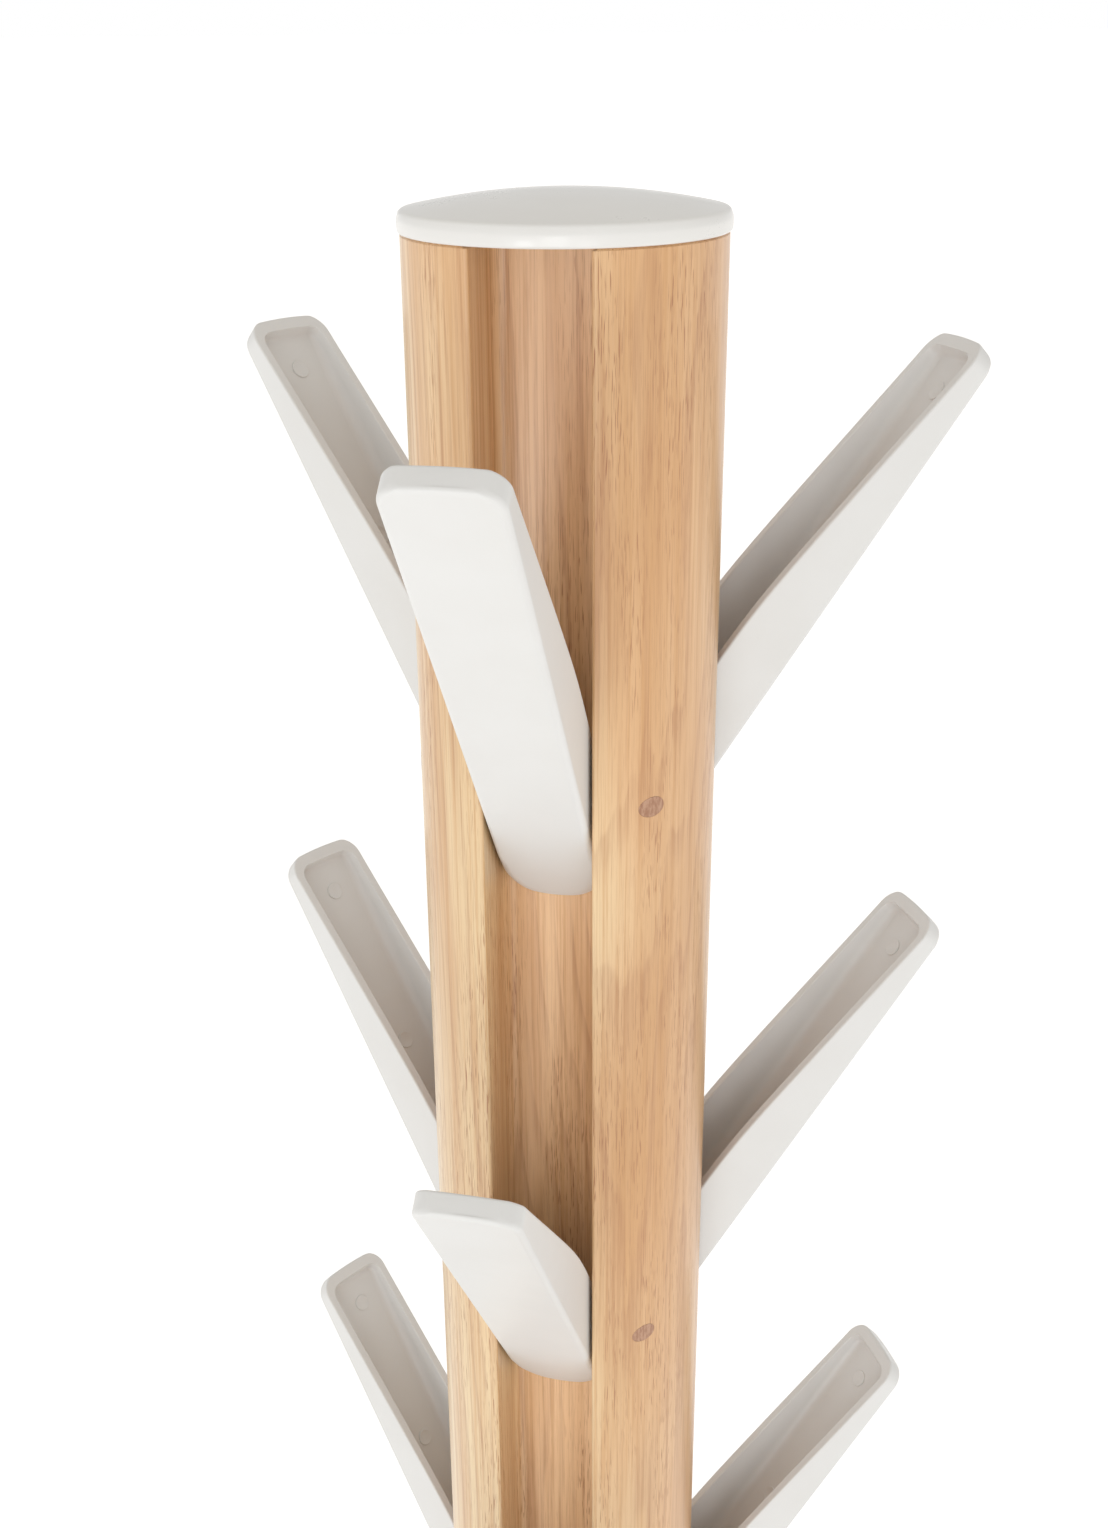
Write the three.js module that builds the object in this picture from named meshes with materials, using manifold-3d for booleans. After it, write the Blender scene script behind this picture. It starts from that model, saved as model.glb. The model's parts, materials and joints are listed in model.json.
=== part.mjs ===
// Standing coat rack: a grooved round wooden post in three sections, nine fold-out hooks on
// tangential steel pins, a domed cap and a weighted round base.
// Millimetres, +Z up. The origin is on the floor under the post's axis, and the front column
// of hooks faces -Y. The hooks are modelled open, resting on their stops.

import * as THREE from 'three';
import { mergeVertices } from 'three/addons/utils/BufferGeometryUtils.js';
import Module from 'manifold-3d';

const wasm = await Module();
wasm.setup();

// ---- Driving dimensions -------------------------------------------------------------------

const TOTAL_HEIGHT = 1680;
const GAP = 0.3; // clearance between two pieces that touch
const PAST = 1; // how far a cutter reaches past the piece it cuts
const rad = THREE.MathUtils.degToRad;

// Post
const POST_R = 38;
const POST_SECTIONS = ['lower', 'middle', 'upper'];
const GROOVE_HALF_WIDTH = 13.55;
const GROOVE_FLOOR_R = 15.2; // distance of a groove's flat floor from the post's axis
const GROOVE_FILLET = 3.5;
const MOUTH_ROUND = 1.8;
const COLUMNS = { front: 0, right: 120, left: -120 }; // azimuth from -Y towards +X, degrees

// Cap
const CAP_RISE = 9.1;
const CAP_SHOULDER = 5.3; // height of the rim's upper edge above the wood
const CAP_R = 38.7;
const CAP_EDGE_ROUND = 2.2;
const CAP_LIP_CHAMFER = 1;
const CAP_WALL = 2.6;
const CAP_CEILING = 4.6; // underside of the cap above the wood, round the spigot
const SPIGOT_R = 9.7;
const SPIGOT_LENGTH = 20;
const SPIGOT_WALL = 2.2;
const SPIGOT_CEILING = 6;

// Hooks, in the closed pose: u runs down the outer face from the tip, the pivot is the origin
const HOOK_ROWS = 3;
const ROW_PITCH = 162;
const FIRST_PIVOT_DROP = 131.5; // below the top of the wood
const PIVOT_R = 26.8; // distance of a hinge pin from the post's axis
const OPEN_ANGLE = 35.8;
const HOOK_WIDTH = 25.2;
const HOOK_ABOVE_PIVOT = 126.5;
const HOOK_BELOW_PIVOT = 33.1;
const HOOK_FACE_OUT = 9.95; // the outer face stands this far outside the pivot
const TIP_DEPTH = 5.5;
const FULL_DEPTH = 18.2;
const TAPER_LENGTH = 84;
const TIP_ROUND = 4;
const TIP_EDGE = 1.2;
const HOOK_WALL = 2.3;
const HOOK_SKIN = 2.6;
const SOLID_HEEL = 12.4; // the trough stops this far above the heel's lower end
const HEEL_TOE = 1; // height of the blunt lower end of the heel
const HEEL_TOE_DEPTH = 0.7;
const BOSS_R = 5.2;
const HEEL_CHAMFER = 2.4; // clears the fillets of the groove
const HEEL_FACET_LENGTH = 24;
const HEEL_FACET_SIDE = 7;

// Hinge pins and the wooden plugs that close their bores
const PIN_R = 2;
const PIN_BLIND_END = 23.7;
const PIN_PLUG_END = 20.7;
const PLUG_R = 2.6;
const BORE_SIDES = 10;

// Joints between the post's sections
const INSERT_R = 6;
const INSERT_BORE_R = 4.15;
const INSERT_LENGTH = 26;
const STUD_R = 3.85;
const STUD_LENGTH = 46;
const WELL_DEPTH = 30;

// Base
const BASE_R = 190;
const BASE_TOP = 27;
const BASE_SKIN = 2;
const BASE_RIM_ROUND = 6;
const BASE_EDGE_TOP = 15;
const BASE_DOME_STEPS = 3;
const PLATFORM_R = 46;
const WEIGHT_R = 130;
const WEIGHT_TOP = 19;
const WEIGHT_BOSS_R = 30;
const WEIGHT_CHAMFER = 1.5;
const WEIGHT_TOP_CHAMFER = 2;
const FOOT_HEIGHT = 5;
const FOOT_R = 12;
const FOOT_PEG_R = 3;
const FOOT_CIRCLE_R = 160;
const FOOT_COUNT = 6;
const FOOT_CHAMFER = 1.2;
const FOOT_TAPER = 0.8;
const FOOT_BARB = 1.1;
const FOOT_BARB_LENGTH = 2.4;
const FOOT_TIP_TAPER = 0.6;
const PLATE_THICKNESS = 2;
const PLATE_R = 186.5;
const PLATE_HOLE_R = 22;
const BOLT_HOLE_R = 4.6;
const BOLT_HEAD_R = 7.5;
const BOLT_HEAD_HEIGHT = 5.5;
const WASHER_R = 12;
const WASHER_THICKNESS = 1.6;
const RECESS_R = 15;
const RECESS_DEPTH = 6;

// Worked out from the above
const WOOD_TOP = TOTAL_HEIGHT - CAP_RISE;
const WOOD_BOTTOM = BASE_TOP + GAP;
const SECTION_LENGTH = (WOOD_TOP - WOOD_BOTTOM - 2 * GAP) / POST_SECTIONS.length;
const PLATE_BOTTOM = FOOT_HEIGHT + GAP;
const PLATE_TOP = PLATE_BOTTOM + PLATE_THICKNESS;
const WEIGHT_BOTTOM = PLATE_TOP + GAP;
const WASHER_TOP = WEIGHT_BOTTOM + RECESS_DEPTH - GAP;
const BOLT_HEAD_TOP = WASHER_TOP - WASHER_THICKNESS - GAP;

// ---- Materials ----------------------------------------------------------------------------

const material = (color, roughness, metalness) =>
  new THREE.MeshStandardMaterial({ color, roughness, metalness });

const FINISH = {
  wood: () => material(0xd8ac7c, 0.42, 0),
  plug: () => material(0xa9745a, 0.5, 0),
  hook: () => material(0xe9e9e6, 0.35, 0),
  cap: () => material(0xe4e5e2, 0.22, 0),
  steel: () => material(0x9a9c9f, 0.35, 1),
  brass: () => material(0xb8963f, 0.35, 1),
  paint: () => material(0xe8e8e4, 0.3, 0),
  iron: () => material(0x4a4a4c, 0.7, 1),
  plate: () => material(0x2c2d2f, 0.55, 0),
  rubber: () => material(0x1d1d1e, 0.85, 0),
};

// ---- Solids -------------------------------------------------------------------------------

function toSolid(geometry) {
  geometry.deleteAttribute('normal');
  geometry.deleteAttribute('uv');
  const merged = mergeVertices(geometry, 1e-4);
  return new wasm.Manifold(new wasm.Mesh({
    numProp: 3,
    vertProperties: new Float32Array(merged.attributes.position.array),
    triVerts: new Uint32Array(merged.index.array),
  }));
}

function toGeometry(solid) {
  const mesh = solid.getMesh();
  const geometry = new THREE.BufferGeometry();
  geometry.setAttribute('position', new THREE.BufferAttribute(mesh.vertProperties, 3));
  geometry.setIndex(new THREE.BufferAttribute(mesh.triVerts, 1));
  geometry.computeVertexNormals();
  return geometry;
}

function cut(body, ...tools) {
  return tools.reduce((rest, tool) => rest.subtract(tool), body);
}

// A cylinder along X between two values of x, its axis through (y, z).
function rodAlongX(radius, from, to, y, z, sides = BORE_SIDES) {
  const geometry = new THREE.CylinderGeometry(radius, radius, to - from, sides);
  geometry.rotateZ(Math.PI / 2);
  geometry.translate((from + to) / 2, y, z);
  return geometry;
}

// A cylinder along Z between two heights.
function rodAlongZ(radius, from, to, sides = 16) {
  const geometry = new THREE.CylinderGeometry(radius, radius, to - from, sides);
  geometry.rotateX(Math.PI / 2);
  geometry.translate(0, 0, (from + to) / 2);
  return geometry;
}

// A turned piece: pairs of radius and height, turned about Z.
function turned(profile, sides) {
  const points = profile.map(([r, z]) => new THREE.Vector2(r, z));
  const geometry = new THREE.LatheGeometry(points, sides);
  geometry.rotateX(Math.PI / 2);
  return geometry;
}

// A turned ring or shell: the profile closes on itself.
function turnedRing(profile, sides) {
  return turned([...profile, profile[0]], sides);
}

// Points of a quarter-round or any other arc in a profile.
function arc(cx, cy, radius, from, to, steps) {
  return Array.from({ length: steps + 1 }, (_, i) => {
    const angle = rad(from + ((to - from) * i) / steps);
    return [cx + radius * Math.cos(angle), cy + radius * Math.sin(angle)];
  });
}

// ---- Post ---------------------------------------------------------------------------------

// Adds one groove to the post's outline. Local axes: out from the post's axis, then along the
// tangent in the direction of rising azimuth.
function addGroove(shape, azimuth) {
  const turn = rad(azimuth - 90);
  const mouthSide = GROOVE_HALF_WIDTH + MOUTH_ROUND;
  const mouthOut = Math.sqrt((POST_R - MOUTH_ROUND) ** 2 - mouthSide ** 2);
  const mouthAngle = Math.atan2(mouthSide, mouthOut);
  const cornerOut = GROOVE_FLOOR_R + GROOVE_FILLET;
  const cornerSide = GROOVE_HALF_WIDTH - GROOVE_FILLET;
  const addArc = (out, side, radius, from, to, clockwise) => {
    const x = out * Math.cos(turn) - side * Math.sin(turn);
    const y = out * Math.sin(turn) + side * Math.cos(turn);
    shape.absarc(x, y, radius, from + turn, to + turn, clockwise);
  };
  const quarter = Math.PI / 2;
  addArc(mouthOut, -mouthSide, MOUTH_ROUND, -mouthAngle, quarter, false);
  addArc(cornerOut, -cornerSide, GROOVE_FILLET, -quarter, -2 * quarter, true);
  addArc(cornerOut, cornerSide, GROOVE_FILLET, 2 * quarter, quarter, true);
  addArc(mouthOut, mouthSide, MOUTH_ROUND, -quarter, mouthAngle, false);
  const nextMouth = rad(120) - mouthAngle;
  shape.absarc(0, 0, POST_R, mouthAngle + turn, nextMouth + turn, false);
}

function postOutline() {
  const shape = new THREE.Shape();
  for (const azimuth of [0, 120, 240]) addGroove(shape, azimuth);
  return shape;
}

function postBlank(bottom) {
  const geometry = new THREE.ExtrudeGeometry(postOutline(), {
    depth: SECTION_LENGTH,
    bevelEnabled: false,
    curveSegments: 4,
  });
  geometry.translate(0, 0, bottom);
  return toSolid(geometry);
}

// The bore of one hinge pin and the wider bore of its plug, both along the tangent.
function pinBore(azimuth, height) {
  const clear = GAP;
  const pinPart = rodAlongX(PIN_R + clear, -PIN_BLIND_END - clear, POST_R, -PIVOT_R, height);
  const plugPart = rodAlongX(PLUG_R + clear, PIN_PLUG_END, POST_R, -PIVOT_R, height);
  const both = toSolid(pinPart).add(toSolid(plugPart));
  return both.rotate([0, 0, azimuth]);
}

function pivotHeight(row) {
  return WOOD_TOP - FIRST_PIVOT_DROP - row * ROW_PITCH;
}

function postSection(index) {
  const bottom = WOOD_BOTTOM + index * (SECTION_LENGTH + GAP);
  const top = bottom + SECTION_LENGTH;
  const isTop = index === POST_SECTIONS.length - 1;
  const wellR = INSERT_R + GAP;
  const lowerWell = toSolid(rodAlongZ(wellR, bottom - PAST, bottom + WELL_DEPTH));
  const upperWell = isTop
    ? toSolid(rodAlongZ(SPIGOT_R + GAP, top - SPIGOT_LENGTH - 2, top + PAST))
    : toSolid(rodAlongZ(wellR, top - WELL_DEPTH, top + PAST));
  const section = cut(postBlank(bottom), lowerWell, upperWell);
  if (!isTop) return section;
  const bores = [];
  for (let row = 0; row < HOOK_ROWS; row += 1) {
    for (const azimuth of Object.values(COLUMNS)) bores.push(pinBore(azimuth, pivotHeight(row)));
  }
  return cut(section, ...bores);
}

// A threaded sleeve seated in the end of a section, flush with the end at 'end'.
function threadedInsert(end, direction) {
  const near = end + direction * GAP;
  const far = end + direction * INSERT_LENGTH;
  const [low, high] = [Math.min(near, far), Math.max(near, far)];
  return turnedRing([
    [INSERT_BORE_R, low],
    [INSERT_R, low],
    [INSERT_R, high],
    [INSERT_BORE_R, high],
  ], 16);
}

// ---- Cap ----------------------------------------------------------------------------------

function postCap() {
  const domeR = CAP_R - CAP_EDGE_ROUND;
  const dome = (t) => [t * domeR, CAP_SHOULDER + (CAP_RISE - CAP_SHOULDER) * (1 - t ** 2)];
  const domePoints = [0, 0.35, 0.65, 0.9].map(dome);
  const rim = arc(domeR, CAP_SHOULDER - CAP_EDGE_ROUND, CAP_EDGE_ROUND, 75, 0, 3);
  const lipR = CAP_R - CAP_LIP_CHAMFER;
  const outer = [...domePoints, ...rim, [CAP_R, GAP + CAP_LIP_CHAMFER], [lipR, GAP]];
  const inner = [
    [lipR - CAP_WALL, GAP],
    [lipR - CAP_WALL, CAP_CEILING - SPIGOT_WALL],
    [SPIGOT_R + 2, CAP_CEILING],
    [SPIGOT_R, CAP_CEILING],
    [SPIGOT_R, 1 - SPIGOT_LENGTH],
    [SPIGOT_R - 1, -SPIGOT_LENGTH],
    [SPIGOT_R - SPIGOT_WALL, -SPIGOT_LENGTH],
    [SPIGOT_R - SPIGOT_WALL, SPIGOT_CEILING - 0.4],
    [0, SPIGOT_CEILING],
  ];
  const profile = [...outer, ...inner].map(([r, z]) => [r, z + WOOD_TOP]).reverse();
  return turned(profile, 36);
}

// ---- Hooks --------------------------------------------------------------------------------

// Extrudes an outline of (out, up) points to a width centred on X.
function extrudeAcross(shape, width) {
  const geometry = new THREE.ExtrudeGeometry(shape, {
    depth: width,
    bevelEnabled: false,
    curveSegments: 4,
  });
  geometry.translate(0, 0, -width / 2);
  geometry.applyMatrix4(new THREE.Matrix4().makeBasis(
    new THREE.Vector3(0, -1, 0),
    new THREE.Vector3(0, 0, 1),
    new THREE.Vector3(-1, 0, 0),
  ));
  return toSolid(geometry);
}

// The side view of a closed hook: a long taper, then a heel cut to lie on the groove's floor
// when the hook is open.
function hookSide() {
  const inner = HOOK_FACE_OUT - FULL_DEPTH;
  const heelRise = FULL_DEPTH / Math.tan(rad(OPEN_ANGLE));
  const shape = new THREE.Shape();
  shape.moveTo(HOOK_FACE_OUT, HEEL_TOE - HOOK_BELOW_PIVOT);
  shape.lineTo(HOOK_FACE_OUT, HOOK_ABOVE_PIVOT - TIP_EDGE);
  shape.lineTo(HOOK_FACE_OUT - TIP_EDGE, HOOK_ABOVE_PIVOT);
  shape.lineTo(HOOK_FACE_OUT - TIP_DEPTH, HOOK_ABOVE_PIVOT);
  shape.lineTo(inner, HOOK_ABOVE_PIVOT - TAPER_LENGTH);
  shape.lineTo(inner, heelRise - HOOK_BELOW_PIVOT);
  shape.lineTo(HOOK_FACE_OUT - HEEL_TOE_DEPTH, HEEL_TOE - HOOK_BELOW_PIVOT);
  shape.closePath();
  return shape;
}

// The trough inside the hook, open towards the post.
function troughSide() {
  const floor = HOOK_FACE_OUT - HOOK_SKIN;
  const beyond = HOOK_FACE_OUT - FULL_DEPTH - PAST;
  const top = HOOK_ABOVE_PIVOT - HOOK_WALL;
  const shape = new THREE.Shape();
  shape.moveTo(floor, top);
  shape.lineTo(beyond, top);
  shape.lineTo(beyond, SOLID_HEEL - HOOK_BELOW_PIVOT);
  shape.lineTo(floor, SOLID_HEEL - HOOK_BELOW_PIVOT);
  shape.closePath();
  return shape;
}

// The hook's face seen from outside: tip corners rounded.
function hookFront() {
  const half = HOOK_WIDTH / 2;
  const shape = new THREE.Shape();
  const centre = half - TIP_ROUND;
  const centreUp = HOOK_ABOVE_PIVOT - TIP_ROUND;
  shape.moveTo(-half, -HOOK_BELOW_PIVOT - PAST);
  shape.lineTo(half, -HOOK_BELOW_PIVOT - PAST);
  shape.absarc(centre, centreUp, TIP_ROUND, 0, Math.PI / 2, false);
  shape.absarc(-centre, centreUp, TIP_ROUND, Math.PI / 2, Math.PI, false);
  shape.closePath();
  const geometry = new THREE.ExtrudeGeometry(shape, {
    depth: 3 * FULL_DEPTH,
    bevelEnabled: false,
    curveSegments: 4,
  });
  geometry.translate(0, 0, -1.5 * FULL_DEPTH);
  geometry.rotateX(Math.PI / 2);
  return toSolid(geometry);
}

// A wedge that takes off one lower corner of the outer face, growing towards the heel.
function heelFacet(side) {
  const edge = side * (HOOK_WIDTH / 2);
  const start = HEEL_FACET_LENGTH - HOOK_BELOW_PIVOT;
  const low = -HOOK_BELOW_PIVOT - PAST;
  const corners = [
    [edge, HOOK_FACE_OUT, start],
    [edge - side * HEEL_FACET_SIDE, HOOK_FACE_OUT, low],
    [edge, HOOK_FACE_OUT - HEEL_FACET_SIDE, low],
    [edge + side * PAST, HOOK_FACE_OUT + PAST, low],
  ];
  const position = corners.flatMap(([x, out, up]) => [x, -out, up]);
  const geometry = new THREE.BufferGeometry();
  geometry.setAttribute('position', new THREE.Float32BufferAttribute(position, 3));
  const faces = [[0, 1, 2], [0, 3, 1], [0, 2, 3], [1, 3, 2]];
  geometry.setIndex(faces.flatMap(([a, b, c]) => (side > 0 ? [a, c, b] : [a, b, c])));
  return toSolid(geometry);
}

// A long prism that chamfers one side of the heel's stop face, where the groove is filleted.
function heelChamfer(side) {
  const half = HOOK_WIDTH / 2;
  const stop = GROOVE_FLOOR_R + GAP - PIVOT_R;
  const length = 3 * HOOK_BELOW_PIVOT;
  const shape = new THREE.Shape();
  shape.moveTo(side * (half - HEEL_CHAMFER - PAST), stop - PAST);
  shape.lineTo(side * (half + PAST), stop - PAST);
  shape.lineTo(side * (half + PAST), stop + HEEL_CHAMFER + PAST);
  shape.closePath();
  const geometry = new THREE.ExtrudeGeometry(shape, { depth: length, bevelEnabled: false });
  geometry.translate(0, 0, -length / 2);
  geometry.scale(1, -1, -1);
  geometry.rotateX(rad(-OPEN_ANGLE));
  return toSolid(geometry);
}

function hookGeometry() {
  const blank = extrudeAcross(hookSide(), HOOK_WIDTH).intersect(hookFront());
  const trough = extrudeAcross(troughSide(), HOOK_WIDTH - 2 * HOOK_WALL);
  const bossEnd = HOOK_WIDTH / 2 - HOOK_WALL / 2;
  const boss = toSolid(rodAlongX(BOSS_R, -bossEnd, bossEnd, 0, 0));
  const bore = toSolid(rodAlongX(PIN_R + GAP, -HOOK_WIDTH, HOOK_WIDTH, 0, 0));
  const body = cut(blank, trough).add(boss);
  const heelCuts = [1, -1].flatMap((side) => [heelFacet(side), heelChamfer(side)]);
  return toGeometry(cut(body, bore, ...heelCuts));
}

// ---- Plugs --------------------------------------------------------------------------------

// A wooden plug, its outer end cut flush with the round of the post.
function plugGeometry() {
  const rod = toSolid(rodAlongX(PLUG_R, PIN_PLUG_END + GAP, POST_R, -PIVOT_R, 0));
  const round = toSolid(rodAlongZ(POST_R, -PLUG_R - PAST, PLUG_R + PAST, 72));
  return toGeometry(rod.intersect(round));
}

// ---- Base ---------------------------------------------------------------------------------

function domeHeight(r) {
  const shoulder = BASE_R - BASE_RIM_ROUND;
  const t = Math.max(0, (r - PLATFORM_R) / (shoulder - PLATFORM_R));
  return BASE_TOP - (BASE_TOP - BASE_EDGE_TOP) * t ** 2;
}

function baseShell() {
  const shoulder = BASE_R - BASE_RIM_ROUND;
  const radii = Array.from({ length: BASE_DOME_STEPS + 1 }, (_, i) => (
    PLATFORM_R + ((shoulder - PLATFORM_R) * i) / BASE_DOME_STEPS
  ));
  const domeTop = radii.map((r) => [r, domeHeight(r)]);
  const domeUnder = radii.map((r) => [r, domeHeight(r) - BASE_SKIN]).reverse();
  const rimTop = BASE_EDGE_TOP - BASE_RIM_ROUND;
  const rimOut = arc(shoulder, rimTop, BASE_RIM_ROUND, 72, 0, 3);
  const rimIn = arc(shoulder, rimTop, BASE_RIM_ROUND - BASE_SKIN, 0, 72, 3);
  return turnedRing([
    [BOLT_HOLE_R, BASE_TOP - BASE_SKIN],
    [BOLT_HOLE_R, BASE_TOP],
    ...domeTop,
    ...rimOut,
    [BASE_R, PLATE_BOTTOM],
    [BASE_R - BASE_SKIN, PLATE_BOTTOM],
    ...rimIn,
    ...domeUnder,
  ].reverse(), 60);
}

function baseWeight() {
  const bossTop = BASE_TOP - BASE_SKIN - GAP;
  return turnedRing([
    [BOLT_HOLE_R, WEIGHT_BOTTOM + RECESS_DEPTH],
    [RECESS_R, WEIGHT_BOTTOM + RECESS_DEPTH],
    [RECESS_R, WEIGHT_BOTTOM],
    [WEIGHT_R - WEIGHT_CHAMFER, WEIGHT_BOTTOM],
    [WEIGHT_R, WEIGHT_BOTTOM + WEIGHT_CHAMFER],
    [WEIGHT_R, WEIGHT_TOP - WEIGHT_TOP_CHAMFER],
    [WEIGHT_R - WEIGHT_TOP_CHAMFER, WEIGHT_TOP],
    [WEIGHT_BOSS_R + 2, WEIGHT_TOP],
    [WEIGHT_BOSS_R, bossTop],
    [BOLT_HOLE_R, bossTop],
  ], 36);
}

function footPlace(index) {
  const angle = rad((360 / FOOT_COUNT) * (index + 0.5));
  return [FOOT_CIRCLE_R * Math.cos(angle), FOOT_CIRCLE_R * Math.sin(angle)];
}

function basePlate() {
  const disc = toSolid(rodAlongZ(PLATE_R, PLATE_BOTTOM, PLATE_TOP, 60));
  const middle = toSolid(rodAlongZ(PLATE_HOLE_R, PLATE_BOTTOM - PAST, PLATE_TOP + PAST, 20));
  const pegHoles = Array.from({ length: FOOT_COUNT }, (_, i) => {
    const hole = rodAlongZ(FOOT_PEG_R + GAP, PLATE_BOTTOM - PAST, PLATE_TOP + PAST, 12);
    hole.translate(...footPlace(i), 0);
    return toSolid(hole);
  });
  return toGeometry(cut(disc, middle, ...pegHoles));
}

// A pressed-in rubber foot: a tapered pad with a barbed peg through the base plate.
function footGeometry() {
  const barb = PLATE_TOP + GAP;
  return turned([
    [0, 0],
    [FOOT_R - FOOT_CHAMFER, 0],
    [FOOT_R, FOOT_CHAMFER],
    [FOOT_R - FOOT_TAPER, FOOT_HEIGHT],
    [FOOT_PEG_R, FOOT_HEIGHT],
    [FOOT_PEG_R, barb],
    [FOOT_PEG_R + FOOT_BARB, barb],
    [FOOT_PEG_R - FOOT_TIP_TAPER, barb + FOOT_BARB_LENGTH],
    [0, barb + FOOT_BARB_LENGTH],
  ], 12);
}

// The clamping bolt: a hexagonal head and a shank that reaches into the lowest insert.
function baseBolt() {
  const head = new THREE.CylinderGeometry(BOLT_HEAD_R, BOLT_HEAD_R, BOLT_HEAD_HEIGHT, 6);
  head.rotateX(Math.PI / 2);
  head.translate(0, 0, BOLT_HEAD_TOP - BOLT_HEAD_HEIGHT / 2);
  const shankTop = WOOD_BOTTOM + INSERT_LENGTH - 2;
  const shank = rodAlongZ(STUD_R, BOLT_HEAD_TOP - PAST, shankTop);
  return toGeometry(toSolid(head).add(toSolid(shank)));
}

function washer() {
  const low = WASHER_TOP - WASHER_THICKNESS;
  return turnedRing([
    [BOLT_HOLE_R, low],
    [WASHER_R, low],
    [WASHER_R, WASHER_TOP],
    [BOLT_HOLE_R, WASHER_TOP],
  ], 16);
}

// ---- Assembly -----------------------------------------------------------------------------

const rack = new THREE.Group();

function addMesh(parent, name, geometry, finish) {
  const mesh = new THREE.Mesh(geometry, FINISH[finish]());
  mesh.name = name;
  parent.add(mesh);
  return mesh;
}

function addPost() {
  POST_SECTIONS.forEach((name, index) => {
    const bottom = WOOD_BOTTOM + index * (SECTION_LENGTH + GAP);
    const top = bottom + SECTION_LENGTH;
    addMesh(rack, `post_${name}`, toGeometry(postSection(index)), 'wood');
    addMesh(rack, `insert_${name}_bottom`, threadedInsert(bottom, 1), 'brass');
    if (index === POST_SECTIONS.length - 1) return;
    addMesh(rack, `insert_${name}_top`, threadedInsert(top, -1), 'brass');
    const seam = top + GAP / 2;
    const stud = rodAlongZ(STUD_R, seam - STUD_LENGTH / 2, seam + STUD_LENGTH / 2);
    addMesh(rack, `stud_above_${name}`, stud, 'steel');
  });
  addMesh(rack, 'post_cap', postCap(), 'cap');
}

function addHookColumn(side, azimuth) {
  const column = new THREE.Group();
  column.rotation.z = rad(azimuth);
  rack.add(column);
  for (let row = 0; row < HOOK_ROWS; row += 1) {
    const place = `${side}_${row + 1}`;
    const hook = addMesh(column, `hook_${place}`, hookGeometry(), 'hook');
    hook.position.set(0, -PIVOT_R, pivotHeight(row));
    hook.rotation.x = rad(OPEN_ANGLE);
    const pin = rodAlongX(PIN_R, -PIN_BLIND_END, PIN_PLUG_END, -PIVOT_R, pivotHeight(row));
    addMesh(column, `hinge_pin_${place}`, pin, 'steel');
    const plug = addMesh(column, `pin_plug_${place}`, plugGeometry(), 'plug');
    plug.position.z = pivotHeight(row);
  }
}

function addBase() {
  addMesh(rack, 'base_shell', baseShell(), 'paint');
  addMesh(rack, 'base_weight', baseWeight(), 'iron');
  addMesh(rack, 'base_plate', basePlate(), 'plate');
  addMesh(rack, 'base_bolt', baseBolt(), 'steel');
  addMesh(rack, 'base_washer', washer(), 'steel');
  for (let i = 0; i < FOOT_COUNT; i += 1) {
    const foot = addMesh(rack, `foot_${i + 1}`, footGeometry(), 'rubber');
    foot.position.set(...footPlace(i), 0);
  }
}

addPost();
for (const [side, azimuth] of Object.entries(COLUMNS)) addHookColumn(side, azimuth);
addBase();

export default rack;
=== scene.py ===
"""Standing coat rack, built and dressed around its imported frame.

A round wooden post with three grooves carries nine fold-out plastic hooks on hidden steel pins.
The post is made of three sections, has a domed cap and stands on a weighted round base. Every
length is in metres, in the frame's own axes: +Z up, the front column of hooks facing -Y.
"""

import json
import logging
import math
from collections.abc import Sequence
from dataclasses import dataclass
from enum import Enum

import bmesh
import bpy
from mathutils import Matrix, Vector


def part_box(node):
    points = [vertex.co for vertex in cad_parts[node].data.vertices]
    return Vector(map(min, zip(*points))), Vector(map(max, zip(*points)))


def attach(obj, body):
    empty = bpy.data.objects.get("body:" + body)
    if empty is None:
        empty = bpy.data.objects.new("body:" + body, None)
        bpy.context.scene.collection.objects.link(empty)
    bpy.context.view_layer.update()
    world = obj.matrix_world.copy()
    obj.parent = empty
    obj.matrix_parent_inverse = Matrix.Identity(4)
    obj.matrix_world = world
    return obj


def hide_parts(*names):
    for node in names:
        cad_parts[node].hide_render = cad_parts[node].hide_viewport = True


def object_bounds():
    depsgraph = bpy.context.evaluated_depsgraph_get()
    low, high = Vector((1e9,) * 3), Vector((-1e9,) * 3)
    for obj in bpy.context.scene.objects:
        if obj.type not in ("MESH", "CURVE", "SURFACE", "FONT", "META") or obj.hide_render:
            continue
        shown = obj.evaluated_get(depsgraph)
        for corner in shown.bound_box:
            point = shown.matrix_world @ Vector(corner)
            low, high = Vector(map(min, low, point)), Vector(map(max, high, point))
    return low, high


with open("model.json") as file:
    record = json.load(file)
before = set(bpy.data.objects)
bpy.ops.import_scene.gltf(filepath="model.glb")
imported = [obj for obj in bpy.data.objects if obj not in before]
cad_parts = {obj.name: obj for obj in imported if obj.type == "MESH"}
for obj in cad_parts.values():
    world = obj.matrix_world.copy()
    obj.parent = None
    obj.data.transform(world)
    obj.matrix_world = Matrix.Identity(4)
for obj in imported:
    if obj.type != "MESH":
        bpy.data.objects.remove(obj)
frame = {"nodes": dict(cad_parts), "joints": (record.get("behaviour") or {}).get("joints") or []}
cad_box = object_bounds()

log = logging.getLogger("coat_rack")

MM = 0.001
STAND = "stand"
HOOK_ROWS = 3

Point2 = tuple[float, float]
Point3 = tuple[float, float, float]
Ring = list[Point3]
Colour = tuple[float, float, float, float]

ORIGIN: Point3 = (0.0, 0.0, 0.0)
WHITE: Colour = (1.0, 1.0, 1.0, 1.0)
BLACK: Colour = (0.0, 0.0, 0.0, 1.0)


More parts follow.
